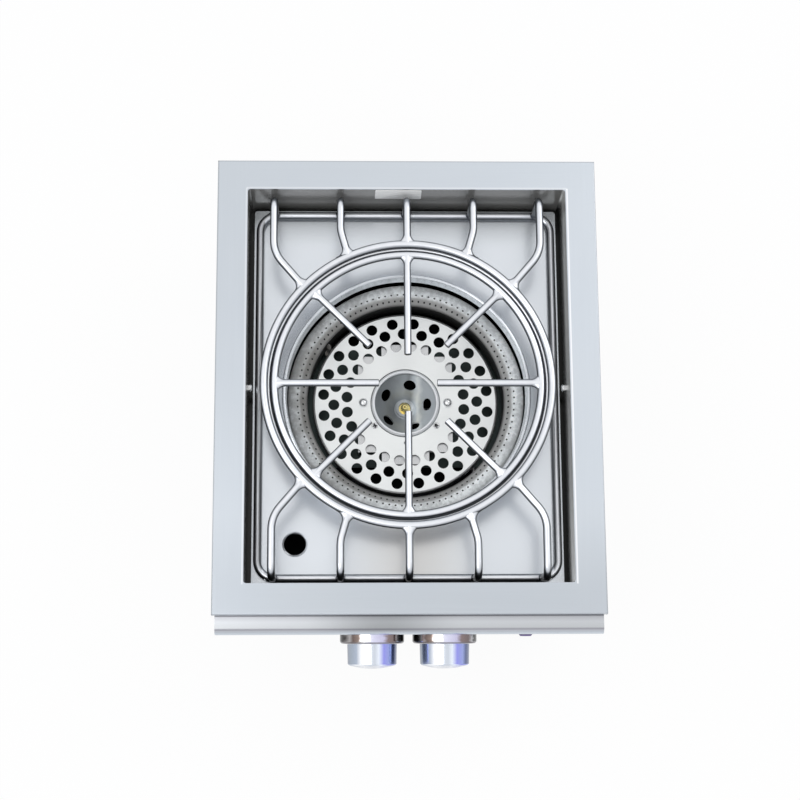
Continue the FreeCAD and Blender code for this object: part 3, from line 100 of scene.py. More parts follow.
# Of each pair of legs: pitches from the middle, degrees round the ring, and how far back it bends
LEG_PLACES = ((0, 0, 146.0 * MM), (1, 24.5, 161.0 * MM), (2, 46.5, 137.0 * MM))
PANEL_TOP_REACH = 13.0 * MM
LIP_REACH = 17.8 * MM
LINER_SHEET = 1.2 * MM
RING_WIDTH = 20.5 * MM
RING_SLOPE_DROP = 8.0 * MM
RING_SHEET = 1.2 * MM
RING_EDGE = 2.0 * MM

# Sizes used here alone: the cover's slope starts this far in, and the cup's painted highlight band
# here
RING_SLOPE = 12.5 * MM
CUP_BAND_START = 28.6 * MM
CUP_BAND_END = 29.4 * MM
THREAD_LENGTH = 15.8 * MM
THREAD_PITCH = 1.4 * MM


def length_property(name, description, default):
    return bpy.props.FloatProperty(name=name, description=description, default=default,
                                   unit="LENGTH")


class BurnerSizes(bpy.types.PropertyGroup):
    """Sizes of what is modelled here."""

    ports: bpy.props.IntProperty(
        name="Ports per row", description="Flame ports in each row of the ring burner",
        default=108, min=12)
    port_inset: length_property(
        "Port margin", "From the edge of a port's panel to the port", 0.65 * MM)
    port_depth: length_property("Port depth", "How far a port is sunk into the cover", 1.1 * MM)
    port_corner: length_property(
        "Port corner", "How much of each corner is cut off to round a port", 0.55 * MM)
    ring_weld: length_property(
        "Ring weld", "Radius of the hollow web where a rod meets a ring", 9 * MM)
    foot_weld: length_property(
        "Foot weld", "Radius of the hollow web where a leg meets the base frame", 5 * MM)
    cross_width: length_property("Cross width", "Width of the slots in a screw's head", 0.8 * MM)
    cross_depth: length_property("Cross depth", "Depth of the slots in a screw's head", 0.65 * MM)
    head_round: length_property("Head edge", "Rounding of a screw head's edge", 0.55 * MM)
    plate_width: length_property(
        "Plate width", "Width of the blank plate on the back wall", 48 * MM)
    plate_height: length_property(
        "Plate height", "Height of the blank plate on the back wall", 26 * MM)


def colour_property(name, description, default):
    return bpy.props.FloatVectorProperty(name=name, description=description, default=default,
                                         subtype="COLOR", size=3, min=0, max=1)


class BurnerColours(bpy.types.PropertyGroup):
    """Colours of the finishes."""

    rim: colour_property("Rim", "Brushed steel of the rim and panel", (0.60, 0.65, 0.71))
    tray: colour_property("Tray", "Polished steel of the drip tray", (0.74, 0.775, 0.82))
    rod: colour_property("Rod", "Polished rod of the grate", (0.80, 0.82, 0.86))
    # The wall colour is the base of the liner's painted reflections, light and shade
    wall: colour_property("Wall", "Lit part of the liner's mirror steel", (0.30, 0.30, 0.29))
    burner: colour_property("Burner", "Satin steel of the ring burner", (0.76, 0.79, 0.80))
    disc: colour_property("Disc", "Satin steel of the diffuser disc", (0.80, 0.82, 0.82))
    cup: colour_property("Cup", "Dark satin steel of the jet cup", (0.40, 0.43, 0.45))
    chrome: colour_property("Chrome", "Bezels", (0.80, 0.81, 0.84))
    # The knob's colour is one band of its painted reflection
    knob: colour_property("Knob", "Light face of the knobs", (0.84, 0.90, 1.0))
    glow: colour_property("Glow", "Light of the rings behind the knobs", (0.42, 0.42, 1.0))


class Wire:
    """The output of a node, which can stand in a sum."""

    def __init__(self, finish, socket):
        self.finish = finish
        self.socket = socket

    def work(self, operation, *terms):
        """The result of a step of arithmetic."""
        return self.finish.node("ShaderNodeMath", {"operation": operation}, dict(enumerate(terms)))

    def __add__(self, other):
        return self.work("ADD", self, other)

    def __sub__(self, other):
        return self.work("SUBTRACT", self, other)

    def __rsub__(self, other):
        return self.work("SUBTRACT", other, self)

    def __mul__(self, other):
        return self.work("MULTIPLY", self, other)

    __radd__ = __add__
    __rmul__ = __mul__

    def __truediv__(self, other):
        return self.work("DIVIDE", self, other)

    def above(self, edge):
        """1 above the edge and 0 below it."""
        return self.work("GREATER_THAN", self, edge)

    def size(self):
        """The value without its sign."""
        return self.work("ABSOLUTE", self)

    def fade(self, start, end):
        """0 at start and 1 at end, smooth between them."""
        return self.finish.node("ShaderNodeMapRange", {"interpolation_type": "SMOOTHSTEP"},
                                {"Value": self, "From Min": start, "From Max": end})

    def near(self, middle, reach):
        """1 at the middle and 0 beyond the reach."""
        return 1 - (self - middle).size().fade(0.0, reach)

    def ramp(self, *stops):
        """Colours along the value: each stop is a place and a colour."""
        return self.finish.node("ShaderNodeValToRGB", {"stops": stops}, {0: self})


class Finish:
    """A material, or the world, and its nodes."""

    def __init__(self, name, library=None, shader="Principled BSDF", place="Object"):
        self.name = name
        library = bpy.data.materials if library is None else library
        self.block = library.new(name)
        self.block.use_nodes = True
        self.tree = self.block.node_tree
        self.shader = self.tree.nodes[shader]
        self.place_output = place

    def node(self, kind, settings=None, inputs=None, output=0):
        """Adds a node with its settings and inputs, and gives one of its outputs."""
        made = self.tree.nodes.new(kind)
        for name, value in (settings or {}).items():
            if name == "stops":
                while len(made.color_ramp.elements) < len(value):
                    made.color_ramp.elements.new(0.5)
                for element, (position, colour) in zip(made.color_ramp.elements, value):
                    element.position = position
                    element.color = (*colour, 1)
            else:
                setattr(made, name, value)
        for name, value in (inputs or {}).items():
            self.feed(made.inputs[name], value)
        return Wire(self, made.outputs[output])

    def feed(self, socket, value):
        """Links a wire to the socket, or sets the socket to a plain value."""
        if isinstance(value, Wire):
            self.tree.links.new(value.socket, socket)
        else:
            socket.default_value = value

    def set(self, **values):
        """Feeds the shader's inputs, named with _ for a space."""
        for name, value in values.items():
            self.feed(self.shader.inputs[name.replace("_", " ")], value)

    def place(self):
        """Where the point lies, in metres."""
        return self.node("ShaderNodeTexCoord", output=self.place_output)

    def seen(self):
        """1 for the rays that show the background: to the camera, and in metal and lenses."""
        return sum((self.node("ShaderNodeLightPath", output=name)
                    for name in ("Is Glossy Ray", "Is Transmission Ray")),
                   self.node("ShaderNodeLightPath", output="Is Camera Ray"))

    def axis(self, name):
        """One of the coordinates, in metres."""
        return self.node("ShaderNodeSeparateXYZ", inputs={0: self.place()}, output=name)

    def facing(self, name):
        """How far the surface faces along an axis, from -1 to 1."""
        normal = self.node("ShaderNodeNewGeometry", output="Normal")
        return self.node("ShaderNodeSeparateXYZ", inputs={0: normal}, output=name)

    def from_axis(self):
        """Distance from the burner's upright axis, in metres."""
        flat = self.node("ShaderNodeVectorMath", {"operation": "MULTIPLY_ADD"}, {
            0: self.place(), 1: (1, 1, 0), 2: (-AXIS.x, -AXIS.y, 0)})
        return self.node("ShaderNodeVectorMath", {"operation": "LENGTH"}, {0: flat}, output="Value")

    def noise(self, period, detail=2.0, move=(0, 0, 0)):
        """Soft noise from 0 to 1, with a period in metres along each axis."""
        stretched = self.node("ShaderNodeMapping", inputs={
            "Vector": self.place(), "Location": move, "Scale": [1 / p for p in period]})
        return self.node("ShaderNodeTexNoise", inputs={
            "Vector": stretched, "Scale": 1.0, "Detail": detail})

    def blend(self, mask, first, second):
        """First colour where the mask is 0 and second where it is 1."""
        ends = [end if isinstance(end, Wire) else (*end, 1) for end in (first, second)]
        return self.node("ShaderNodeMix", {"data_type": "RGBA"}, {0: mask, 6: ends[0], 7: ends[1]},
                         output=2)

    def dim(self, colour, factor):
        """The colour times a factor that may change over the surface."""
        return self.node("ShaderNodeVectorMath", {"operation": "SCALE"},
                         {0: colour, "Scale": factor})

    def bump(self, height, strength, distance):
        """The normal of a surface with this relief."""
        return self.node("ShaderNodeBump", inputs={
            "Height": height, "Strength": strength, "Distance": distance})


# Heights of the reliefs, in metres
FINE_GRAIN = 0.2 * MM
ROLLED_GRAIN = 0.5 * MM
SHEET_WAVE = 2.0 * MM


def shade(colour, factor):
    """The colour, darker or lighter."""
    return tuple(min(1.0, channel * factor) for channel in colour)


def varied(finish, mask, colour, contrast):
    """The colour, from a little darker where the mask is 0 to a little lighter where it is 1."""
    return finish.blend(mask, shade(colour, 1 - contrast), shade(colour, 1 + contrast))


def disc_finish(colour):
    """Disc: satin steel, brushed from side to side."""
    finish = Finish("disc_steel")
    fine = finish.noise((0.02, 0.0012, 0.01), detail=3.0)
    cloud = finish.noise((0.11, 0.13, 0.12), move=(3, 1, 2))
    tone = varied(finish, fine, colour, 0.03)
    wide = finish.blend(cloud, shade(colour, 0.95), shade(colour, 1.04))
    finish.set(Base_Color=finish.blend(0.5, tone, wide), Metallic=1.0,
               Roughness=0.36 - 0.06 + fine * 0.12,
               Normal=finish.bump(fine, 0.02, FINE_GRAIN))
    return finish


def polished(name, colour, rough, waviness):
    """Smooth steel with faint clouds and the slight waves of thin sheet."""
    finish = Finish(name)
    cloud = finish.noise((0.05, 0.06, 0.05))
    wave = finish.noise((0.09, 0.11, 0.09), detail=1.0, move=(5, 2, 1))
    finish.set(Base_Color=varied(finish, cloud, colour, 0.04),
               Metallic=1.0, Roughness=rough - 0.03 + cloud * 0.06,
               Normal=finish.bump(wave, waviness, SHEET_WAVE))
    return finish


def rim_finish(colour):
    """Rim: brushed along each side, with soft random changes of tone, painted shading that is
    darker in front and lighter towards the right, painted shade along its outer edges and painted
    highlights along the folds of the opening.
    """
    finish = Finish("brushed_rim")
    half_opening = (LINER_HIGH.x - LINER_LOW.x) / 2
    edge_band = 2.0 * MM
    fold = 1.4 * MM
    side = finish.axis("X")
    ahead = finish.axis("Y")
    beside = side.size().above(half_opening)
    across = finish.noise((0.09, 0.0006, 0.09), detail=3.0)
    along = finish.noise((0.0006, 0.09, 0.09), detail=3.0)
    fine = across * (1 - beside) + along * beside
    cloud = finish.noise((0.12, 0.10, 0.12), move=(3, 1, 2))
    tone = varied(finish, fine, colour, 0.05)
    warm = finish.blend(cloud, shade(colour, 0.94), (0.64, 0.67, 0.70))
    steel = finish.blend(0.5, tone, warm)
    # Painted shading: darker towards the front and lighter towards the right
    front = 1 - ahead.fade(LINER_LOW.y - 20 * MM, LINER_LOW.y + 90 * MM)
    steel = finish.dim(steel, 1 - front * 0.14 + side * 0.16)
    # Painted shade along the outer edges, where the rim turns down
    painted_edge_shade = side.size().near(RIM_HIGH.x, edge_band) + ahead.near(RIM_HIGH.y, edge_band)
    steel = finish.dim(steel, 1 - painted_edge_shade * 0.35)
    # Painted highlights along the folds of the opening, brightest at the right
    beside_opening = ahead.above(LINER_LOW.y) * (1 - ahead.above(LINER_HIGH.y))
    right = side.near(half_opening + 0.6 * MM, fold) * beside_opening
    left = side.near(-half_opening, fold) * 0.4 * beside_opening
    back = ahead.near(LINER_HIGH.y, 1.6 * MM) * 0.4 * (1 - beside)
    painted_fold_highlight = (0.94, 0.95, 0.98)
    finish.set(Base_Color=finish.blend(right + left + back, steel, painted_fold_highlight),
               Metallic=1.0, Roughness=0.27 + fine * 0.1,
               Normal=finish.bump(fine, 0.03, FINE_GRAIN))
    return finish


def panel_finish(colour):
    """Panel: painted shade below the rim and in the crease above the lip, painted light between
    them, warmer in the middle, and painted shade along the lip's lower edge.
    """
    finish = Finish("panel_steel")
    fine = finish.noise((0.07, 0.0007, 0.0007), detail=3.0)
    out = (RIM_LOW.y - finish.axis("Y")) / LIP_REACH
    crease = PANEL_TOP_REACH / LIP_REACH
    # Painted light and shade across the panel's height: shade under the rim, light below it, shade
    # in the crease and at the lip's lower edge
    tone = out.ramp((0.0, (0.22, 0.22, 0.24)), (0.08, (0.50, 0.51, 0.54)),
                    (0.35, (0.57, 0.59, 0.62)), (crease - 0.07, (0.52, 0.54, 0.56)),
                    (crease + 0.02, (0.32, 0.32, 0.36)), (crease + 0.10, (0.48, 0.49, 0.53)),
                    (0.90, (0.34, 0.35, 0.39)), (0.96, (0.14, 0.15, 0.18)))
    middle = finish.axis("X").near(-25 * MM, 85 * MM)
    warm = finish.dim(finish.blend(0.75, colour, (0.72, 0.71, 0.69)), 0.80)
    front = finish.facing("Y").fade(-0.55, -0.95)
    warm_tone = finish.node("ShaderNodeMix", {"data_type": "RGBA", "blend_type": "MULTIPLY"},
                            {0: 1.0, 6: tone, 7: warm}, output=2)
    top = finish.blend(middle * 0.8, tone, warm_tone)
    steel = varied(finish, fine, colour, 0.05)
    # The lip's lower edge loses its metal so that its painted shade shows
    painted_lip_shade = out.fade(0.86, 0.94) * (1 - front)
    finish.set(Base_Color=finish.blend(front, top, steel), Metallic=1 - painted_lip_shade * 0.9,
               Roughness=0.24 + fine * 0.12 + painted_lip_shade * 0.6,
               Normal=finish.bump(fine, 0.03, FINE_GRAIN))
    return finish


def liner_finish(colour):
    """Liner: mirror steel whose colour is painted with its reflections, light and shade: painted
    light unevenly near the rim, fading to painted black shade lower down.
    """
    finish = Finish("liner_steel")
    side = finish.axis("X")
    ahead = finish.axis("Y")
    deep = (RIM_HIGH.z - finish.axis("Z")) / (RIM_HIGH.z - LINER_LOW.z)
    streak = finish.noise((0.004, 0.09, 0.006), detail=2.0, move=(1, 2, 5))
    wander = deep + streak * 0.08 - 0.04
    # Near black: painted shade at the foot of the walls
    dark = (0.012, 0.013, 0.014)
    # Each wall's painted light and shade, from the rim down
    left = wander.ramp((0.0, shade(colour, 1.2)), (0.09, dark), (0.16, shade(colour, 1.7)),
                       (0.30, shade(colour, 1.1)), (0.42, shade(colour, 0.35)),
                       (0.60, shade(colour, 0.10)), (0.80, (0, 0, 0)))
    right = wander.ramp((0.0, shade(colour, 2.3)), (0.14, shade(colour, 1.7)),
                        (0.26, shade(colour, 2.3)), (0.38, shade(colour, 2.5)),
                        (0.48, shade(colour, 1.4)), (0.60, shade(colour, 0.8)),
                        (0.78, dark), (0.90, (0, 0, 0)))
    back = wander.ramp((0.0, shade(colour, 1.0)), (0.10, shade(colour, 0.95)),
                       (0.60, shade(colour, 1.15)), (0.80, shade(colour, 0.9)),
                       (0.92, shade(colour, 0.25)), (1.0, dark))
    # The left wall is painted dark in front and painted light near the back corner
    behind_front = ahead.fade(RIM_LOW.y + 100 * MM, RIM_HIGH.y - 200 * MM)
    painted_light_left = finish.blend(behind_front, shade(colour, 0.1), left)
    corner = ahead.fade(LINER_HIGH.y - 45 * MM, LINER_HIGH.y - 5 * MM)
    painted_light_left = finish.blend(corner * (1 - deep * 0.8), painted_light_left, shade(colour, 1.1))
    # The right wall's painted light grows brighter towards the front
    right = finish.dim(right, 1.9 - 0.9 * ahead.fade(LINER_LOW.y, LINER_LOW.y + 130 * MM))
    by_wall = 4 * MM
    edge = (LINER_HIGH.x - LINER_LOW.x) / 2 - by_wall
    walls = finish.blend(ahead.above(LINER_HIGH.y - by_wall), dark, back)
    walls = finish.blend(side.above(edge), walls, right)
    walls = finish.blend((0 - side).above(edge), walls, painted_light_left)
    finish.set(Base_Color=walls, Metallic=0.25, Roughness=0.16 + streak * 0.06,
               Normal=finish.bump(streak, 0.03, 1.0 * MM))
    return finish


def tray_finish(colour):
    """Tray: polished sheet, warmer in front, with painted shade at the back by the wall, and faint
    long streaks.
    """
    finish = Finish("tray_steel")
    side = finish.axis("X")
    ahead = finish.axis("Y")
    cloud = finish.noise((0.05, 0.07, 0.05))
    wave = finish.noise((0.10, 0.12, 0.10), detail=1.0, move=(5, 2, 1))
    steel = varied(finish, cloud, colour, 0.04)
    in_front = 1 - ahead.fade(RIM_LOW.y + 90 * MM, RIM_LOW.y + 150 * MM)
    warm = side.near(5 * MM, 85 * MM) * in_front
    steel = finish.blend(warm * 0.9, steel, (0.66, 0.655, 0.645))
    # Painted shade near the back wall
    back_wall_shade = ahead.fade(LINER_HIGH.y - 50 * MM, LINER_HIGH.y - 16 * MM)
    steel = finish.blend(back_wall_shade * 0.5, steel, (0.38, 0.40, 0.41))
    finish.set(Base_Color=steel, Metallic=0.8, Roughness=0.22 + cloud * 0.06,
               Normal=finish.bump(wave, 0.04, SHEET_WAVE))
    return finish


def rod_finish(colour):
    """Grate rod: satin, with painted shade towards its outline, on the side away from the light and
    on the inner sides of the base frame's side rails, and a heat tint close to each foot.
    """
    finish = Finish("grate_steel")
    side = finish.axis("X")
    height = finish.axis("Z")
    cloud = finish.noise((0.012, 0.012, 0.012))
    grain = finish.noise((0.003, 0.003, 0.003), move=(1, 4, 2))
    # Painted light and shade round the rod: highlight where it faces up or down, shade towards its
    # outline
    painted_round_shading = (finish.facing("Z").size() + grain * 0.06 - 0.03).ramp(
        (0.0, (0.030, 0.034, 0.040)), (0.38, (0.055, 0.060, 0.070)), (0.60, (0.22, 0.24, 0.27)),
        (0.84, (0.58, 0.61, 0.66)), (0.96, colour))
    # Painted shade on the side that faces right and forwards, away from the light
    painted_side_shade = (finish.facing("X") - finish.facing("Y")).fade(0.2, 1.0) * 0.30
    rail = 9 * MM
    low = 1 - height.fade(BASE_HIGH.z - 1 * MM, BASE_HIGH.z + 3 * MM)
    beside = side.size().above(BASE_HIGH.x - rail) * low
    sides = side / side.size()
    # Painted shade on the inner side of the base frame's side rails
    inward = (0 - finish.facing("X") * sides).fade(-0.1, 0.45) * beside
    steel = finish.blend(painted_side_shade, finish.dim(painted_round_shading, 0.95 + cloud * 0.1), shade(colour, 0.45))
    steel = finish.blend(inward * 0.85, steel, shade(colour, 0.12))
    foot = 1 - height.fade(BASE_HIGH.z + 1 * MM, BASE_HIGH.z + 9 * MM)
    end = (finish.axis("Y") - AXIS.y).size().above(BASE_HIGH.y - AXIS.y - rail)
    tint_reach = 8 * MM
    by_leg = (side.near(0, tint_reach) + side.size().near(LEG_PITCH, tint_reach)
              + side.size().near(2 * LEG_PITCH, tint_reach))
    burnt = foot * end * by_leg * grain.fade(0.35, 0.60)
    steel = finish.blend(burnt * 0.8, steel, (0.055, 0.06, 0.085))
    finish.set(Base_Color=steel, Metallic=1.0, Roughness=0.26 + cloud * 0.08 + burnt * 0.15,
               Normal=finish.bump(cloud, 0.02, ROLLED_GRAIN))
    return finish


def burner_finish(colour):
    """Pressed burner steel: bright mottled top with painted shading, lighter towards the right and
    darker in browner clouds towards the left, browner down its inner slope, with painted shade at
    the inner edge and on its walls.
    """
    finish = Finish("burner_steel")
    mottle = finish.noise((0.0035, 0.0035, 0.0035), detail=4.0)
    cloud = finish.noise((0.03, 0.03, 0.03))
    outer = (RING_HIGH.x - RING_LOW.x) / 2
    away = finish.from_axis()
    steel = finish.blend(mottle.fade(0.36, 0.66), shade(colour, 0.86), shade(colour, 1.16))
    steel = finish.blend(cloud.fade(0.42, 0.70) * 0.45, steel, shade(colour, 0.62))
    # Painted shading, lighter towards the right
    aside = (finish.axis("X") - AXIS.x) / outer
    steel = finish.dim(steel, 1.02 + aside * 0.16)
    slope = 1 - away.fade(outer - RING_SLOPE - 2.5 * MM, outer - RING_SLOPE + 2.0 * MM)
    steel = finish.blend(slope * (0.35 + 0.5 * mottle), steel, (0.23, 0.21, 0.19))
    # Painted shade in browner clouds towards the left
    painted_left_shade = (0 - aside).fade(0.15, 0.75) * cloud.fade(0.30, 0.60)
    steel = finish.blend(painted_left_shade * 0.5, steel, (0.20, 0.19, 0.17))
    # Painted shade at the inner edge, by the gap to the disc
    painted_inner_shade = 1 - away.fade(outer - RING_WIDTH + 0.5 * MM, outer - RING_WIDTH + 2.5 * MM)
    steel = finish.blend(painted_inner_shade * 0.85, steel, (0.06, 0.06, 0.06))
    # Painted shade on the walls, which face sideways
    low = 1 - finish.facing("Z").fade(0.05, 0.45)
    steel = finish.blend(low, steel, (0.020, 0.020, 0.020))
    finish.set(Base_Color=steel, Metallic=0.35, Roughness=0.36 + mottle * 0.14,
               Normal=finish.bump(mottle, 0.08, ROLLED_GRAIN))
    return finish


def bracket_finish(colour):
    """Bracket steel: bright just under the disc, with painted shade lower down."""
    finish = Finish("bracket_steel")
    cloud = finish.noise((0.03, 0.03, 0.03), detail=3.0)
    steel = finish.blend(cloud, shade(colour, 0.93), shade(colour, 1.07))
    # Painted shade on the lower parts, which lie deeper under the disc
    low = 1 - finish.axis("Z").fade(HAT_LOW.z + 3 * MM, HAT_LOW.z + 12 * MM)
    dark = finish.blend(cloud, (0.030, 0.040, 0.039), (0.055, 0.070, 0.068))
    finish.set(Base_Color=finish.blend(low, steel, dark), Metallic=0.9,
               Roughness=0.24 + cloud * 0.08 + low * 0.1,
               Normal=finish.bump(cloud, 0.03, 1.0 * MM))
    return finish


def box_finish(colour):
    """Brushed box steel, with painted shade on its upper sides."""
    finish = Finish("box_steel")
    fine = finish.noise((0.05, 0.05, 0.0009), detail=3.0)
    shade_mottle = finish.noise((0.02, 0.02, 0.02), detail=3.0)
    cloud = finish.noise((0.16, 0.16, 0.12), move=(2, 7, 1))
    steel = varied(finish, fine, colour, 0.12)
    steel = finish.dim(steel, 0.90 + cloud * 0.2)
    # Painted shade on the sides that face up, which lie in the dark under the tray
    painted_top_shade = finish.facing("Z").above(0.5)
    dark = finish.blend(shade_mottle, (0.005, 0.005, 0.005), (0.022, 0.023, 0.023))
    finish.set(Base_Color=finish.blend(painted_top_shade, steel, dark), Metallic=1.0,
               Roughness=0.30 + fine * 0.12, Normal=finish.bump(fine, 0.02, FINE_GRAIN))
    return finish


def cup_finish(colour):
    """Jet cup: dark cone with painted light towards its right, under a bevelled rim with a painted
    highlight.
    """
    finish = Finish("cup_steel")
    cloud = finish.noise((0.012, 0.012, 0.02))
    tone_width = 50 * MM
    side = (finish.axis("X") - AXIS.x) / tone_width
    # Painted light and shade across the cone, lighter towards the right
    tone = (side + 0.5 + cloud * 0.2).ramp(
        (0.10, shade(colour, 0.52)), (0.30, shade(colour, 0.56)), (0.46, shade(colour, 0.84)),
        (0.60, shade(colour, 1.05)), (0.70, shade(colour, 0.80)), (0.80, shade(colour, 1.75)),
        (0.88, shade(colour, 2.4)), (0.98, shade(colour, 1.5)))
    # Painted highlight on the rim's bevel
    rim = finish.axis("Z").fade(CUP_HIGH.z - 3.2 * MM, CUP_HIGH.z - 2.2 * MM)
    outer = finish.from_axis().fade(CUP_BAND_START, CUP_BAND_END)
    painted_rim_highlight = (0.80, 0.82, 0.84)
    finish.set(Base_Color=finish.blend(rim * outer, tone, painted_rim_highlight), Metallic=0.3,
               Roughness=0.30 + cloud * 0.08, Normal=finish.bump(cloud, 0.04, 0.8 * MM))
    return finish


def knob_finish(colour):
    """Knob: chrome whose colour is a painted reflection of pale blue and white, with the rings'
    violet painted at its right, and painted shade under its front.
    """
    finish = Finish("knob_metal")
    cloud = finish.noise((0.006, 0.006, 0.006))
    front = finish.facing("Y").fade(-0.80, -0.93)
    turn = finish.facing("X") * (1 + front * 2.5) * 0.5 + 0.5
    # Painted reflection in bands round the knob, by which way the surface faces
    steel = turn.ramp(
        (0.0, (0.20, 0.23, 0.30)), (0.05, (0.36, 0.41, 0.48)), (0.18, (0.45, 0.51, 0.62)),
        (0.26, (0.93, 0.95, 1.0)), (0.32, (0.95, 0.97, 1.0)), (0.44, shade(colour, 0.78)),
        (0.55, shade(colour, 0.76)), (0.63, colour), (0.73, (0.33, 0.34, 0.84)),
        (0.85, (0.35, 0.41, 0.75)), (0.91, (0.14, 0.17, 0.31)), (1.0, (0.20, 0.23, 0.33)))
    steel = finish.blend(front * 0.6, steel, (0.66, 0.68, 0.74))
    # Painted shade under the front of the knob
    under = front * (1 - finish.facing("Z").fade(-0.22, 0.02))
    steel = finish.blend(under * 0.85, steel, (0.12, 0.11, 0.20))
    finish.set(Base_Color=steel, Metallic=0.9 - under * 0.9,
               Roughness=0.16 + cloud * 0.05 + under * 0.75)
    return finish


def chrome_finish(colour):
    """Bezel: chrome with painted reflections: the brown and white patches of what stands round it,
    dark on the faces that lean forwards.
    """
    finish = Finish("chrome_trim")
    cloud = finish.noise((0.008, 0.004, 0.008))
    turn = finish.facing("X") * 0.5 + 0.5 + cloud * 0.10 - 0.05
    # Painted reflection in bands round the bezel
    steel = turn.ramp(
        (0.0, (0.02, 0.02, 0.02)), (0.07, (0.05, 0.045, 0.045)), (0.14, (0.42, 0.40, 0.40)),
        (0.20, (0.16, 0.12, 0.11)), (0.28, (0.30, 0.23, 0.20)),
        (0.36, (0.90, 0.90, 0.92)), (0.52, (0.74, 0.74, 0.92)), (0.66, (0.60, 0.58, 0.78)),
        (0.74, (0.26, 0.20, 0.20)), (0.86, (0.20, 0.16, 0.16)), (0.90, (0.50, 0.50, 0.52)),
        (0.95, (0.05, 0.05, 0.05)), (1.0, (0.02, 0.02, 0.02)))
    # Painted dark reflection on the faces that lean forwards
    ahead = finish.facing("Y")
    steel = finish.blend(ahead.fade(-0.25, -0.6) * 0.75, steel, (0.16, 0.155, 0.17))
    front = ahead.fade(-0.85, -0.96)
    finish.set(Base_Color=finish.blend(front, steel, colour), Metallic=0.9,
               Roughness=0.10 + cloud * 0.05)
    return finish


def brass_finish():
    """Brass, with the turns of the thread on the gas inlet and painted shade in their grooves."""
    finish = Finish("brass")
    grain = finish.noise((0.0015, 0.0015, 0.0015), detail=3.0)
    height = finish.axis("Z")
    thread_end = INLET_LOW.z + THREAD_LENGTH
    threaded = ((1 - height.fade(thread_end - 0.8 * MM, thread_end))
                * height.fade(INLET_LOW.z + 0.6 * MM, INLET_LOW.z + 1.2 * MM))
    turns = (height * (2 * math.pi / THREAD_PITCH)).work("SINE")
    tone = varied(finish, grain, (0.74, 0.62, 0.26), 0.08)
    # Painted shade in the thread's grooves
    dark = turns.fade(-0.2, -0.9) * threaded * 0.7
    finish.set(Base_Color=finish.blend(dark, tone, (0.16, 0.11, 0.04)), Metallic=1.0,
               Roughness=0.22 + grain * 0.10,
               Normal=finish.bump(turns * threaded, 0.6, 0.4 * MM))
    return finish


def cast_finish(name, colour, rough, speckle=0.1, relief=0.1):
    """Moulded or plain stuff with a fine grain."""
    finish = Finish(name)
    grain = finish.noise((0.0015, 0.0015, 0.0015), detail=3.0)
    finish.set(Base_Color=varied(finish, grain, colour, speckle),
               Roughness=rough - 0.05 + grain * 0.1,
               Normal=finish.bump(grain, relief, FINE_GRAIN))
    return finish


def ceramic_finish(colour):
    """Electrode ceramic, sooty towards its tip."""
    finish = Finish("ceramic")
    grain = finish.noise((0.002, 0.002, 0.002), detail=3.0)
    soot = (finish.axis("Z") + grain * 0.01).fade(DISC_LOW.z, DISC_HIGH.z + 4 * MM)
    finish.set(Base_Color=finish.blend(soot * 0.9, colour, (0.05, 0.048, 0.045)),
               Roughness=0.35 + grain * 0.2, Normal=finish.bump(grain, 0.1, FINE_GRAIN))
    return finish


def glow_finish(colour):
    """Lit lens: milky, with its own soft light."""
    finish = Finish("glow_lens")
    milk = finish.noise((0.004, 0.004, 0.004))
    finish.set(Base_Color=finish.blend(milk, shade(colour, 0.9), (0.8, 0.82, 1.0)), Roughness=0.3,
               Emission_Color=finish.blend(milk, colour, (0.62, 0.62, 1.0)), Emission_Strength=2.2)
    return finish


def make_finishes(colours):
    """Every material by the record's slot name, and those of the pieces made here."""
    made = [
        rim_finish(colours.rim),
        panel_finish(colours.rim),
        liner_finish(colours.wall),
        tray_finish(colours.tray),
        rod_finish(colours.rod),
        burner_finish(colours.burner),
        disc_finish(colours.disc),
        cup_finish(colours.cup),
        bracket_finish((0.62, 0.63, 0.64)),
        box_finish((0.46, 0.47, 0.48)),
        chrome_finish(colours.chrome),
        knob_finish(colours.knob),
        glow_finish(colours.glow),
        cast_finish("button_plastic", (0.16, 0.12, 0.28), 0.35),
        cast_finish("black_plastic", (0.02, 0.02, 0.022), 0.45),
        brass_finish(),
        polished("pipe_steel", (0.60, 0.60, 0.58), 0.28, 0.1),
        polished("feed_aluminium", (0.70, 0.71, 0.73), 0.34, 0.1),
        ceramic_finish((0.55, 0.53, 0.49)),
        polished("fastener", (0.80, 0.81, 0.82), 0.24, 0.05),
        # Near black: painted shade in the ports, and in the screws' slots and round their heads
        cast_finish("port_shade", (0.010, 0.010, 0.011), 0.7),
        cast_finish("slot_shade", (0.015, 0.015, 0.017), 0.6),
        cast_finish("plate_white", (0.96, 0.96, 0.95), 0.45, speckle=0.02, relief=0.03),
    ]
    return {finish.name: finish.block for finish in made}


# Filled by the step that makes the finishes
FINISHES = {}


# Modelling helpers

def begin(name, add, **where):
    """Adds a primitive with nothing else selected, and opens it for editing."""
    bpy.ops.object.select_all(action="DESELECT")
    add(**where)
    piece = bpy.context.object
    piece.name = name
    piece.data.name = name
    bpy.ops.object.transform_apply(location=True, rotation=True, scale=True)
    bpy.ops.object.mode_set(mode="EDIT")
    return piece


def close(piece, smooth_angle=35):
    """Leaves edit mode and shades the piece smooth except at its sharp edges."""
    bpy.ops.object.mode_set(mode="OBJECT")
    choose(piece)
    bpy.ops.object.shade_smooth_by_angle(angle=math.radians(smooth_angle))
    return piece


def choose(*pieces):
    """Selects the pieces alone and makes the first one active."""
    bpy.ops.object.select_all(action="DESELECT")
    for piece in pieces:
        piece.select_set(True)
    bpy.context.view_layer.objects.active = pieces[0]


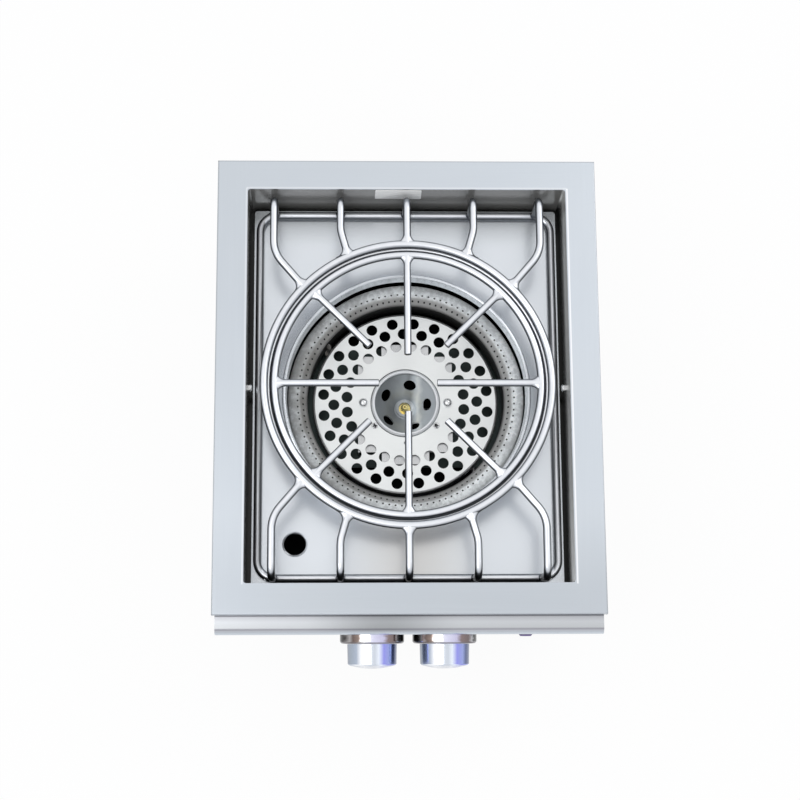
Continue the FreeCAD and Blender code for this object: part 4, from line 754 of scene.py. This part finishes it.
def pick(piece, test, kind="FACE"):
    """Selects the open piece's faces, edges or corners whose middle passes the test."""
    bpy.ops.mesh.select_mode(type=kind)
    bpy.ops.mesh.select_all(action="DESELECT")
    bpy.ops.object.mode_set(mode="OBJECT")
    mesh = piece.data
    for item in {"FACE": mesh.polygons, "EDGE": mesh.edges, "VERT": mesh.vertices}[kind]:
        if kind == "FACE":
            middle = item.center
        elif kind == "EDGE":
            middle = (mesh.vertices[item.vertices[0]].co + mesh.vertices[item.vertices[1]].co) / 2
        else:
            middle = item.co
        item.select = bool(test(item, middle))
    bpy.ops.object.mode_set(mode="EDIT")


def trace(name, points):
    """Open line through the points, drawn by extruding one corner."""
    piece = begin(name, bpy.ops.mesh.primitive_plane_add, size=MM, location=points[0])
    bpy.ops.mesh.merge(type="CENTER")
    for before, after in zip(points, points[1:]):
        step = Vector(after) - Vector(before)
        bpy.ops.mesh.extrude_vertices_move(TRANSFORM_OT_translate={"value": step})
    return piece


def tidy_shell():
    """Merges what meets and turns the open piece's faces outwards."""
    bpy.ops.mesh.select_all(action="SELECT")
    bpy.ops.mesh.remove_doubles(threshold=0.01 * MM)
    bpy.ops.mesh.normals_make_consistent(inside=False)


def copied(pattern, name, matrices):
    """One piece made of a copy of the pattern at each matrix. The pattern itself goes."""
    copies = []
    for matrix in matrices:
        twin = pattern.copy()
        twin.data = pattern.data.copy()
        twin.data.transform(matrix)
        bpy.context.scene.collection.objects.link(twin)
        copies.append(twin)
    bpy.data.objects.remove(pattern)
    choose(*copies)
    bpy.ops.object.join()
    piece = bpy.context.object
    piece.name = name
    piece.data.name = name
    return piece


def dress(piece, body, slot, *finishes):
    """Gives a piece its materials and says what it rides on."""
    for index, finish in enumerate(finishes):
        if index < len(piece.data.materials):
            piece.data.materials[index] = finish
        else:
            piece.data.materials.append(finish)
    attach(piece, body)


def paint(index):
    """Gives the open piece's chosen faces one of its materials."""
    piece = bpy.context.object
    while len(piece.data.materials) <= index:
        piece.data.materials.append(None)
    piece.active_material_index = index
    bpy.ops.object.material_slot_assign()


def aimed(place, forward, across):
    """Matrix that moves the origin to a place and turns X forward and Y across."""
    forward = Vector(forward).normalized()
    up = forward.cross(Vector(across)).normalized()
    across = up.cross(forward)
    turn = Matrix((forward, across, up)).transposed().to_4x4()
    return Matrix.Translation(place) @ turn


def on_circle(radius, degrees, height):
    """Point on a level circle round the burner's upright axis."""
    turn = math.radians(degrees)
    return Vector((AXIS.x + radius * math.cos(turn), AXIS.y + radius * math.sin(turn), height))


# Operators

class OBJECT_OT_burner_finishes(bpy.types.Operator):
    """Give every node of the model its finish"""
    bl_idname = "object.burner_finishes"
    bl_label = "Finishes"

    def execute(self, context):
        FINISHES.update(make_finishes(context.scene.burner_colours))
        slots = {part["node"]: part["material_slot"] for part in frame["record"]["subparts"]}
        for name, node in frame["nodes"].items():
            for material_slot in node.material_slots:
                material_slot.material = FINISHES[slots[name]]
        return {"FINISHED"}


class OBJECT_OT_burner_ring(bpy.types.Operator):
    """Model the ring burner's cover with its two rows of flame ports"""
    bl_idname = "object.burner_ring"
    bl_label = "Ring burner"

    def execute(self, context):
        sizes = context.scene.burner_sizes
        top = RING_HIGH.z
        bottom = RING_LOW.z
        outer = (RING_HIGH.x - RING_LOW.x) / 2
        inner = outer - RING_WIDTH
        flat = outer - RING_SLOPE
        foot = inner + 1.5 * MM
        low = top - RING_SLOPE_DROP
        wall = RING_SHEET
        edge = RING_EDGE
        # The shell under the ports lies deeper than the ports reach
        deep = 2.6 * MM
        rise = RING_SLOPE_DROP / (flat - foot)
        # A row's panel reaches this far to each side of its ports, along the surface
        flat_reach = 1.5 * MM
        slope_reach = 2.0 * MM / math.hypot(1, rise)
        outer_row = flat + 2.2 * MM
        inner_row = foot + 0.46 * (flat - foot)
        inner_height = low + (inner_row - foot) * rise
        inner_round = 0.5 * MM
        profile = [(outer, bottom), (outer, top - edge), (outer - 0.3 * edge, top - 0.3 * edge),
                   (outer - edge, top), (outer_row + flat_reach, top),
                   (outer_row - flat_reach, top),
                   (flat + 0.2 * MM, top), (flat - 0.4 * MM, top - 0.35 * MM),
                   (inner_row + slope_reach, inner_height + slope_reach * rise),
                   (inner_row - slope_reach, inner_height - slope_reach * rise),
                   (foot, low), (inner + inner_round, low), (inner, low - inner_round),
                   (inner, bottom), (inner + wall, bottom), (inner + wall, low - deep),
                   (flat, top - deep), (outer - edge, top - deep),
                   (outer - wall, top - edge - wall), (outer - wall, bottom), (outer, bottom)]
        step = math.radians(360 / sizes.ports)
        start = Matrix.Rotation(-step / 2, 4, "Z")
        points = [start @ Vector((radius, 0, 0)) + Vector((AXIS.x, AXIS.y, height))
                  for radius, height in profile]
        piece = trace("ring_burner_ports", points)
        bpy.ops.mesh.select_all(action="SELECT")
        bpy.ops.mesh.spin(steps=2, angle=-step, center=(AXIS.x, AXIS.y, 0), axis=(0, 0, 1))
        tidy_shell()
        near = 0.3 * MM

        def is_port(middle):
            """The two rows are staggered, each in its own half of the sector."""
            radius = math.hypot(middle.x - AXIS.x, middle.y - AXIS.y)
            if middle.y > AXIS.y:
                return abs(radius - outer_row) < near and abs(middle.z - top) < 0.1 * MM
            return abs(radius - inner_row) < near and abs(middle.z - inner_height) < near

        pick(piece, lambda face, middle: is_port(middle))
        bpy.ops.mesh.inset(thickness=sizes.port_inset, depth=0, use_individual=True)
        bpy.ops.mesh.bevel(offset=sizes.port_corner, affect="VERTICES", segments=1)
        # Cutting its four corners leaves a port with eight
        pick(piece, lambda face, middle: is_port(middle) and len(face.vertices) == 8)
        bpy.ops.mesh.extrude_region_move(
            TRANSFORM_OT_translate={"value": (0, 0, -sizes.port_depth)})
        # The ports and a little round them are painted near black: painted shade for holes that
        # reach into the dark cover
        bpy.ops.mesh.select_more()
        paint(1)
        bpy.ops.mesh.select_all(action="SELECT")
        whole = 2 * math.pi
        bpy.ops.mesh.spin(steps=sizes.ports - 1, angle=whole - step, dupli=True,
                          center=(AXIS.x, AXIS.y, 0), axis=(0, 0, 1))
        tidy_shell()
        close(piece, 25)
        dress(piece, "root", "burner_steel", FINISHES["burner_steel"], FINISHES["port_shade"])
        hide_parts("ring_burner_cover")
        return {"FINISHED"}


class OBJECT_OT_burner_welds(bpy.types.Operator):
    """Model the hollow webs where the grate's rods are welded together"""
    bl_idname = "object.burner_welds"
    bl_label = "Welds"

    def execute(self, context):
        sizes = context.scene.burner_sizes
        wok_rod = (WOK_HIGH.z - WOK_LOW.z) / 2
        wok_ring = (WOK_HIGH.x - WOK_LOW.x) / 2 - wok_rod
        wok_height = (WOK_HIGH.z + WOK_LOW.z) / 2
        prongs = []
        prong_turn = 45
        for turn in range(0, 360, prong_turn):
            place = on_circle(wok_ring, turn, wok_height)
            inward = on_circle(0, 0, wok_height) - place
            prongs.append(aimed(place, inward, inward.cross((0, 0, 1))))
        self.webs("prong_welds", "wok_ring", PRONG_ROD, sizes.ring_weld, prongs)

        ring_rod = (OUTER_HIGH.z - OUTER_LOW.z) / 2
        ring = (OUTER_HIGH.x - OUTER_LOW.x) / 2 - ring_rod
        ring_height = (OUTER_HIGH.z + OUTER_LOW.z) / 2
        base_height = (BASE_HIGH.z + BASE_LOW.z) / 2
        base_back = BASE_HIGH.y - AXIS.y - (BASE_HIGH.z - BASE_LOW.z) / 2
        shoulder_back = LEGS_HIGH.y - AXIS.y - LEG_ROD
        tops = []
        feet = []
        for end in (-1, 1):
            for pitches, angle, bend_back in LEG_PLACES:
                for side in ((1,) if pitches == 0 else (-1, 1)):
                    across = side * pitches * LEG_PITCH
                    place = on_circle(ring, 90 * end - side * end * angle, ring_height)
                    # The middle legs run straight out: a point farther out gives their direction
                    beyond = 30 * MM if pitches == 0 else 0
                    bend = Vector((across, AXIS.y + end * (bend_back + beyond), ring_height))
                    outward = bend - place
                    tops.append(aimed(place, outward, outward.cross((0, 0, 1))))
                    foot = Vector((across, AXIS.y + end * base_back, base_height))
                    shoulder = Vector((across, AXIS.y + end * shoulder_back, ring_height))
                    feet.append(aimed(foot, shoulder - foot, (1, 0, 0)))
        self.webs("leg_welds", "grate", LEG_ROD, sizes.ring_weld, tops)
        self.webs("foot_welds", "grate", LEG_ROD, sizes.foot_weld, feet)
        return {"FINISHED"}

    def webs(self, name, body, rod, weld, matrices):
        """Webs whose sides curve from the rod out along the ring."""
        steps = 8
        # A little thinner than the rod, and narrower at its end, so that it sinks into the rod
        thick = 0.93 * rod
        sunk = 0.1 * MM
        begin_at = 2.2 * MM
        pattern = begin(name, bpy.ops.mesh.primitive_circle_add, vertices=20, radius=1,
                        fill_type="NGON", location=(begin_at, 0, 0), rotation=(0, math.pi / 2, 0))
        bpy.ops.mesh.select_all(action="SELECT")
        width = rod + weld
        bpy.ops.transform.resize(value=(1, width, thick))
        reached = begin_at
        for step in range(1, steps + 1):
            turn = math.pi / 2 * step / steps
            ahead = begin_at + weld * (1 - math.cos(turn))
            wide = rod + weld * (1 - math.sin(turn)) - sunk * (step == steps)
            bpy.ops.mesh.extrude_region_move(
                TRANSFORM_OT_translate={"value": (ahead - reached, 0, 0)})
            bpy.ops.transform.resize(value=(1, wide / width, 1))
            reached, width = ahead, wide
        tidy_shell()
        close(pattern, 50)
        piece = copied(pattern, name, matrices)
        dress(piece, body, "grate_steel", FINISHES["grate_steel"])


class OBJECT_OT_burner_screws(bpy.types.Operator):
    """Model the screws with crossed slots on the disc, the pan and the panel"""
    bl_idname = "object.burner_screws"
    bl_label = "Screws"

    def execute(self, context):
        sizes = context.scene.burner_sizes
        radius = (SCREW_HIGH.y - SCREW_LOW.y) / 2
        middle = (SCREW_HIGH.y + SCREW_LOW.y) / 2
        places = [aimed((x, middle, SCREW_HIGH.z), (0.94, 0.34, 0), (-0.34, 0.94, 0))
                  for x in (SCREW_LOW.x + radius, SCREW_HIGH.x - radius)]
        flush_head = 1.2 * MM
        self.screws(sizes, "disc_screws", radius, flush_head, SCREW_HIGH.z - SCREW_LOW.z, places)

        radius = (PAN_SCREW_HIGH.z - PAN_SCREW_LOW.z) / 2
        height = (PAN_SCREW_HIGH.z + PAN_SCREW_LOW.z) / 2
        first, last = PAN_SCREW_LOW.y + radius, PAN_SCREW_HIGH.y - radius
        places = [aimed((x, y, height), (0, 0.8, 0.6 * sign), (0, -0.6, 0.8 * sign))
                  for x, sign in ((PAN_SCREW_LOW.x, -1), (PAN_SCREW_HIGH.x, 1))
                  for y in (first, (first + last) / 2, last)]
        raised_head = 1.9 * MM
        self.screws(sizes, "pan_screws", radius, raised_head, raised_head, places)

        radius = (PANEL_SCREW_HIGH.y - PANEL_SCREW_LOW.y) / 2
        middle = (PANEL_SCREW_HIGH.y + PANEL_SCREW_LOW.y) / 2
        first, last = PANEL_SCREW_LOW.x + radius, PANEL_SCREW_HIGH.x - radius
        count = 4
        places = [aimed((first + (last - first) * part / (count - 1), middle, PANEL_SCREW_LOW.z),
                        (0.9, 0.44, 0), (0.44, -0.9, 0)) for part in range(count)]
        self.screws(sizes, "panel_screws", radius, raised_head, raised_head, places)
        return {"FINISHED"}

    def screws(self, sizes, node, radius, head, length, matrices):
        """Screws whose heads' tops lie at the matrices and face their Z."""
        name = node + "_crossed"
        pattern = begin(name, bpy.ops.mesh.primitive_cylinder_add, vertices=32, radius=radius,
                        depth=head, location=(0, 0, -head / 2))
        pick(pattern, lambda face, at: face.normal.z > 0.9)
        bpy.ops.mesh.bevel(offset=sizes.head_round, segments=3, affect="EDGES")
        # The head's rounded edge is painted with the slots' shade: a painted dark gap round the
        # head
        pick(pattern, lambda face, at: 0.05 < face.normal.z < 0.9)
        paint(1)
        if length > head:
            pick(pattern, lambda face, at: face.normal.z < -0.9)
            bpy.ops.mesh.inset(thickness=radius * 0.45)
            bpy.ops.mesh.extrude_region_move(
                TRANSFORM_OT_translate={"value": (0, 0, head - length)})
        close(pattern)
        pattern.data.materials[0] = FINISHES["fastener"]
        pattern.data.materials[1] = FINISHES["slot_shade"]
        reach = 1.5 * radius
        for along, across in ((reach, sizes.cross_width), (sizes.cross_width, reach)):
            slot = begin("slot", bpy.ops.mesh.primitive_cube_add, size=1,
                         scale=(along, across, 2 * sizes.cross_depth))
            close(slot)
            slot.data.materials.append(FINISHES["slot_shade"])
            choose(pattern)
            cut = pattern.modifiers.new("slot", "BOOLEAN")
            cut.operation = "DIFFERENCE"
            cut.solver = "EXACT"
            cut.object = slot
            bpy.ops.object.modifier_apply(modifier=cut.name)
            bpy.data.objects.remove(slot)
        piece = copied(pattern, name, matrices)
        dress(piece, "root", "fastener", FINISHES["fastener"], FINISHES["slot_shade"])
        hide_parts(node)


class OBJECT_OT_burner_plate(bpy.types.Operator):
    """Model the blank plate on the liner's back wall"""
    bl_idname = "object.burner_plate"
    bl_label = "Blank plate"

    def execute(self, context):
        sizes = context.scene.burner_sizes
        thick = 0.5 * MM
        aside = -8.6 * MM
        below_rim = 3 * MM
        wall = LINER_HIGH.y - LINER_SHEET
        middle = (aside, wall - thick / 2, RIM_HIGH.z - below_rim - sizes.plate_height / 2)
        piece = begin("blank_plate", bpy.ops.mesh.primitive_cube_add, size=1, location=middle,
                      scale=(sizes.plate_width, thick, sizes.plate_height))
        pick(piece, lambda edge, at: abs(at.x - middle[0]) > sizes.plate_width * 0.49
             and abs(at.z - middle[2]) > sizes.plate_height * 0.49, "EDGE")
        bpy.ops.mesh.bevel(offset=1.5 * MM, segments=4, affect="EDGES")
        pick(piece, lambda face, at: face.normal.y < -0.9)
        bpy.ops.mesh.bevel(offset=0.12 * MM, segments=2, affect="EDGES")
        close(piece)
        dress(piece, "root", "liner_steel", FINISHES["plate_white"])
        return {"FINISHED"}


class OBJECT_OT_burner_studio(bpy.types.Operator):
    """Lay the floor, set the lamps and the camera"""
    bl_idname = "object.burner_studio"
    bl_label = "Studio"

    def execute(self, context):
        self.floor()
        self.sky(context)
        self.lamp("key_light", (-0.9, -0.5, 1.9), 1.2, 9)
        self.lamp("fill_light", (1.2, 0.7, 1.5), 1.0, 4)
        self.camera(context)
        return {"FINISHED"}

    def floor(self):
        gap = 0.5 * MM
        floor = begin("studio_floor", bpy.ops.mesh.primitive_plane_add, size=12,
                      location=(0, 0, -gap))
        close(floor)
        finish = Finish("studio_paper")
        paper = finish.noise((0.4, 0.4, 0.4))
        finish.set(Base_Color=finish.blend(paper, (0.84, 0.84, 0.84), (0.86, 0.86, 0.86)),
                   Roughness=0.9)
        white = finish.node("ShaderNodeEmission", inputs={"Color": (1, 1, 1, 1), "Strength": 1.0})
        # The rest of the floor's look is its own, so that it keeps the object's shadow
        whiteness = finish.seen() * 0.93
        mixed = finish.node("ShaderNodeMixShader", inputs={
            0: whiteness, 1: Wire(finish, finish.shader.outputs[0]), 2: white})
        finish.feed(finish.tree.nodes["Material Output"].inputs["Surface"], mixed)
        floor.data.materials.append(finish.block)

    def sky(self, context):
        """White to the camera and in the metal, and softer from the sides as a light."""
        sky = Finish("studio_sky", bpy.data.worlds, "Background", "Generated")
        tone = sky.axis("Z").ramp(
            (0.0, (0.30, 0.30, 0.31)), (0.10, (0.22, 0.22, 0.24)), (0.35, (0.62, 0.63, 0.66)),
            (0.60, (0.95, 0.96, 1.0)), (1.0, (1.0, 1.0, 1.0)))
        sky.set(Color=sky.blend(sky.seen(), tone, (1, 1, 1)), Strength=1.0)
        context.scene.world = sky.block

    def lamp(self, name, place, size, power):
        """Square lamp, in metres and watts, aimed at the middle of the burner."""
        bpy.ops.object.select_all(action="DESELECT")
        bpy.ops.object.light_add(type="AREA", location=place)
        lamp = bpy.context.object
        lamp.name = name
        lamp.data.size = size
        lamp.data.energy = power
        lamp.rotation_euler = (Vector(place) - AXIS).to_track_quat("Z", "Y").to_euler()

    def camera(self, context):
        """As in the photo: from above and a little in front, and slightly from the left."""
        tilt = math.radians(13)
        distance = 1.9
        aside = 0.055
        data = bpy.data.cameras.new("photo_camera")
        data.lens = 85
        data.sensor_width = 36
        camera = bpy.data.objects.new("photo_camera", data)
        context.scene.collection.objects.link(camera)
        # What the middle of the picture shows, at the height of the rim
        target = Vector((-8.6 * MM, AXIS.y - 19.4 * MM, RIM_HIGH.z))
        camera.location = target + Vector((-aside, -distance * math.sin(tilt),
                                           distance * math.cos(tilt)))
        yaw = math.atan(aside / distance)
        turn = Matrix.Rotation(tilt, 3, "X") @ Matrix.Rotation(-yaw, 3, "Y")
        camera.rotation_euler = turn.to_euler()
        context.scene.camera = camera


class VIEW3D_PT_burner(bpy.types.Panel):
    """Steps and values of the side burner"""
    bl_idname = "VIEW3D_PT_burner"
    bl_label = "Side Burner"
    bl_space_type = "VIEW_3D"
    bl_region_type = "UI"
    bl_category = "Side Burner"

    def draw(self, context):
        for step in STEPS:
            self.layout.operator(step.bl_idname)
        for group in (context.scene.burner_sizes, context.scene.burner_colours):
            for name in group.bl_rna.properties.keys():
                if name not in ("rna_type", "name"):
                    self.layout.prop(group, name)


STEPS = (OBJECT_OT_burner_finishes, OBJECT_OT_burner_ring, OBJECT_OT_burner_welds,
         OBJECT_OT_burner_screws, OBJECT_OT_burner_plate, OBJECT_OT_burner_studio)
CLASSES = (BurnerSizes, BurnerColours, *STEPS, VIEW3D_PT_burner)


def register():
    for item in CLASSES:
        bpy.utils.register_class(item)
    bpy.types.Scene.burner_sizes = bpy.props.PointerProperty(type=BurnerSizes)
    bpy.types.Scene.burner_colours = bpy.props.PointerProperty(type=BurnerColours)


def unregister():
    del bpy.types.Scene.burner_colours
    del bpy.types.Scene.burner_sizes
    for item in reversed(CLASSES):
        bpy.utils.unregister_class(item)


def main():
    register()
    bpy.context.scene.view_settings.view_transform = "Standard"
    bpy.ops.object.burner_finishes()
    bpy.ops.object.burner_ring()
    bpy.ops.object.burner_welds()
    bpy.ops.object.burner_screws()
    bpy.ops.object.burner_plate()
    bpy.ops.object.burner_studio()


if __name__ == "__main__":
    main()
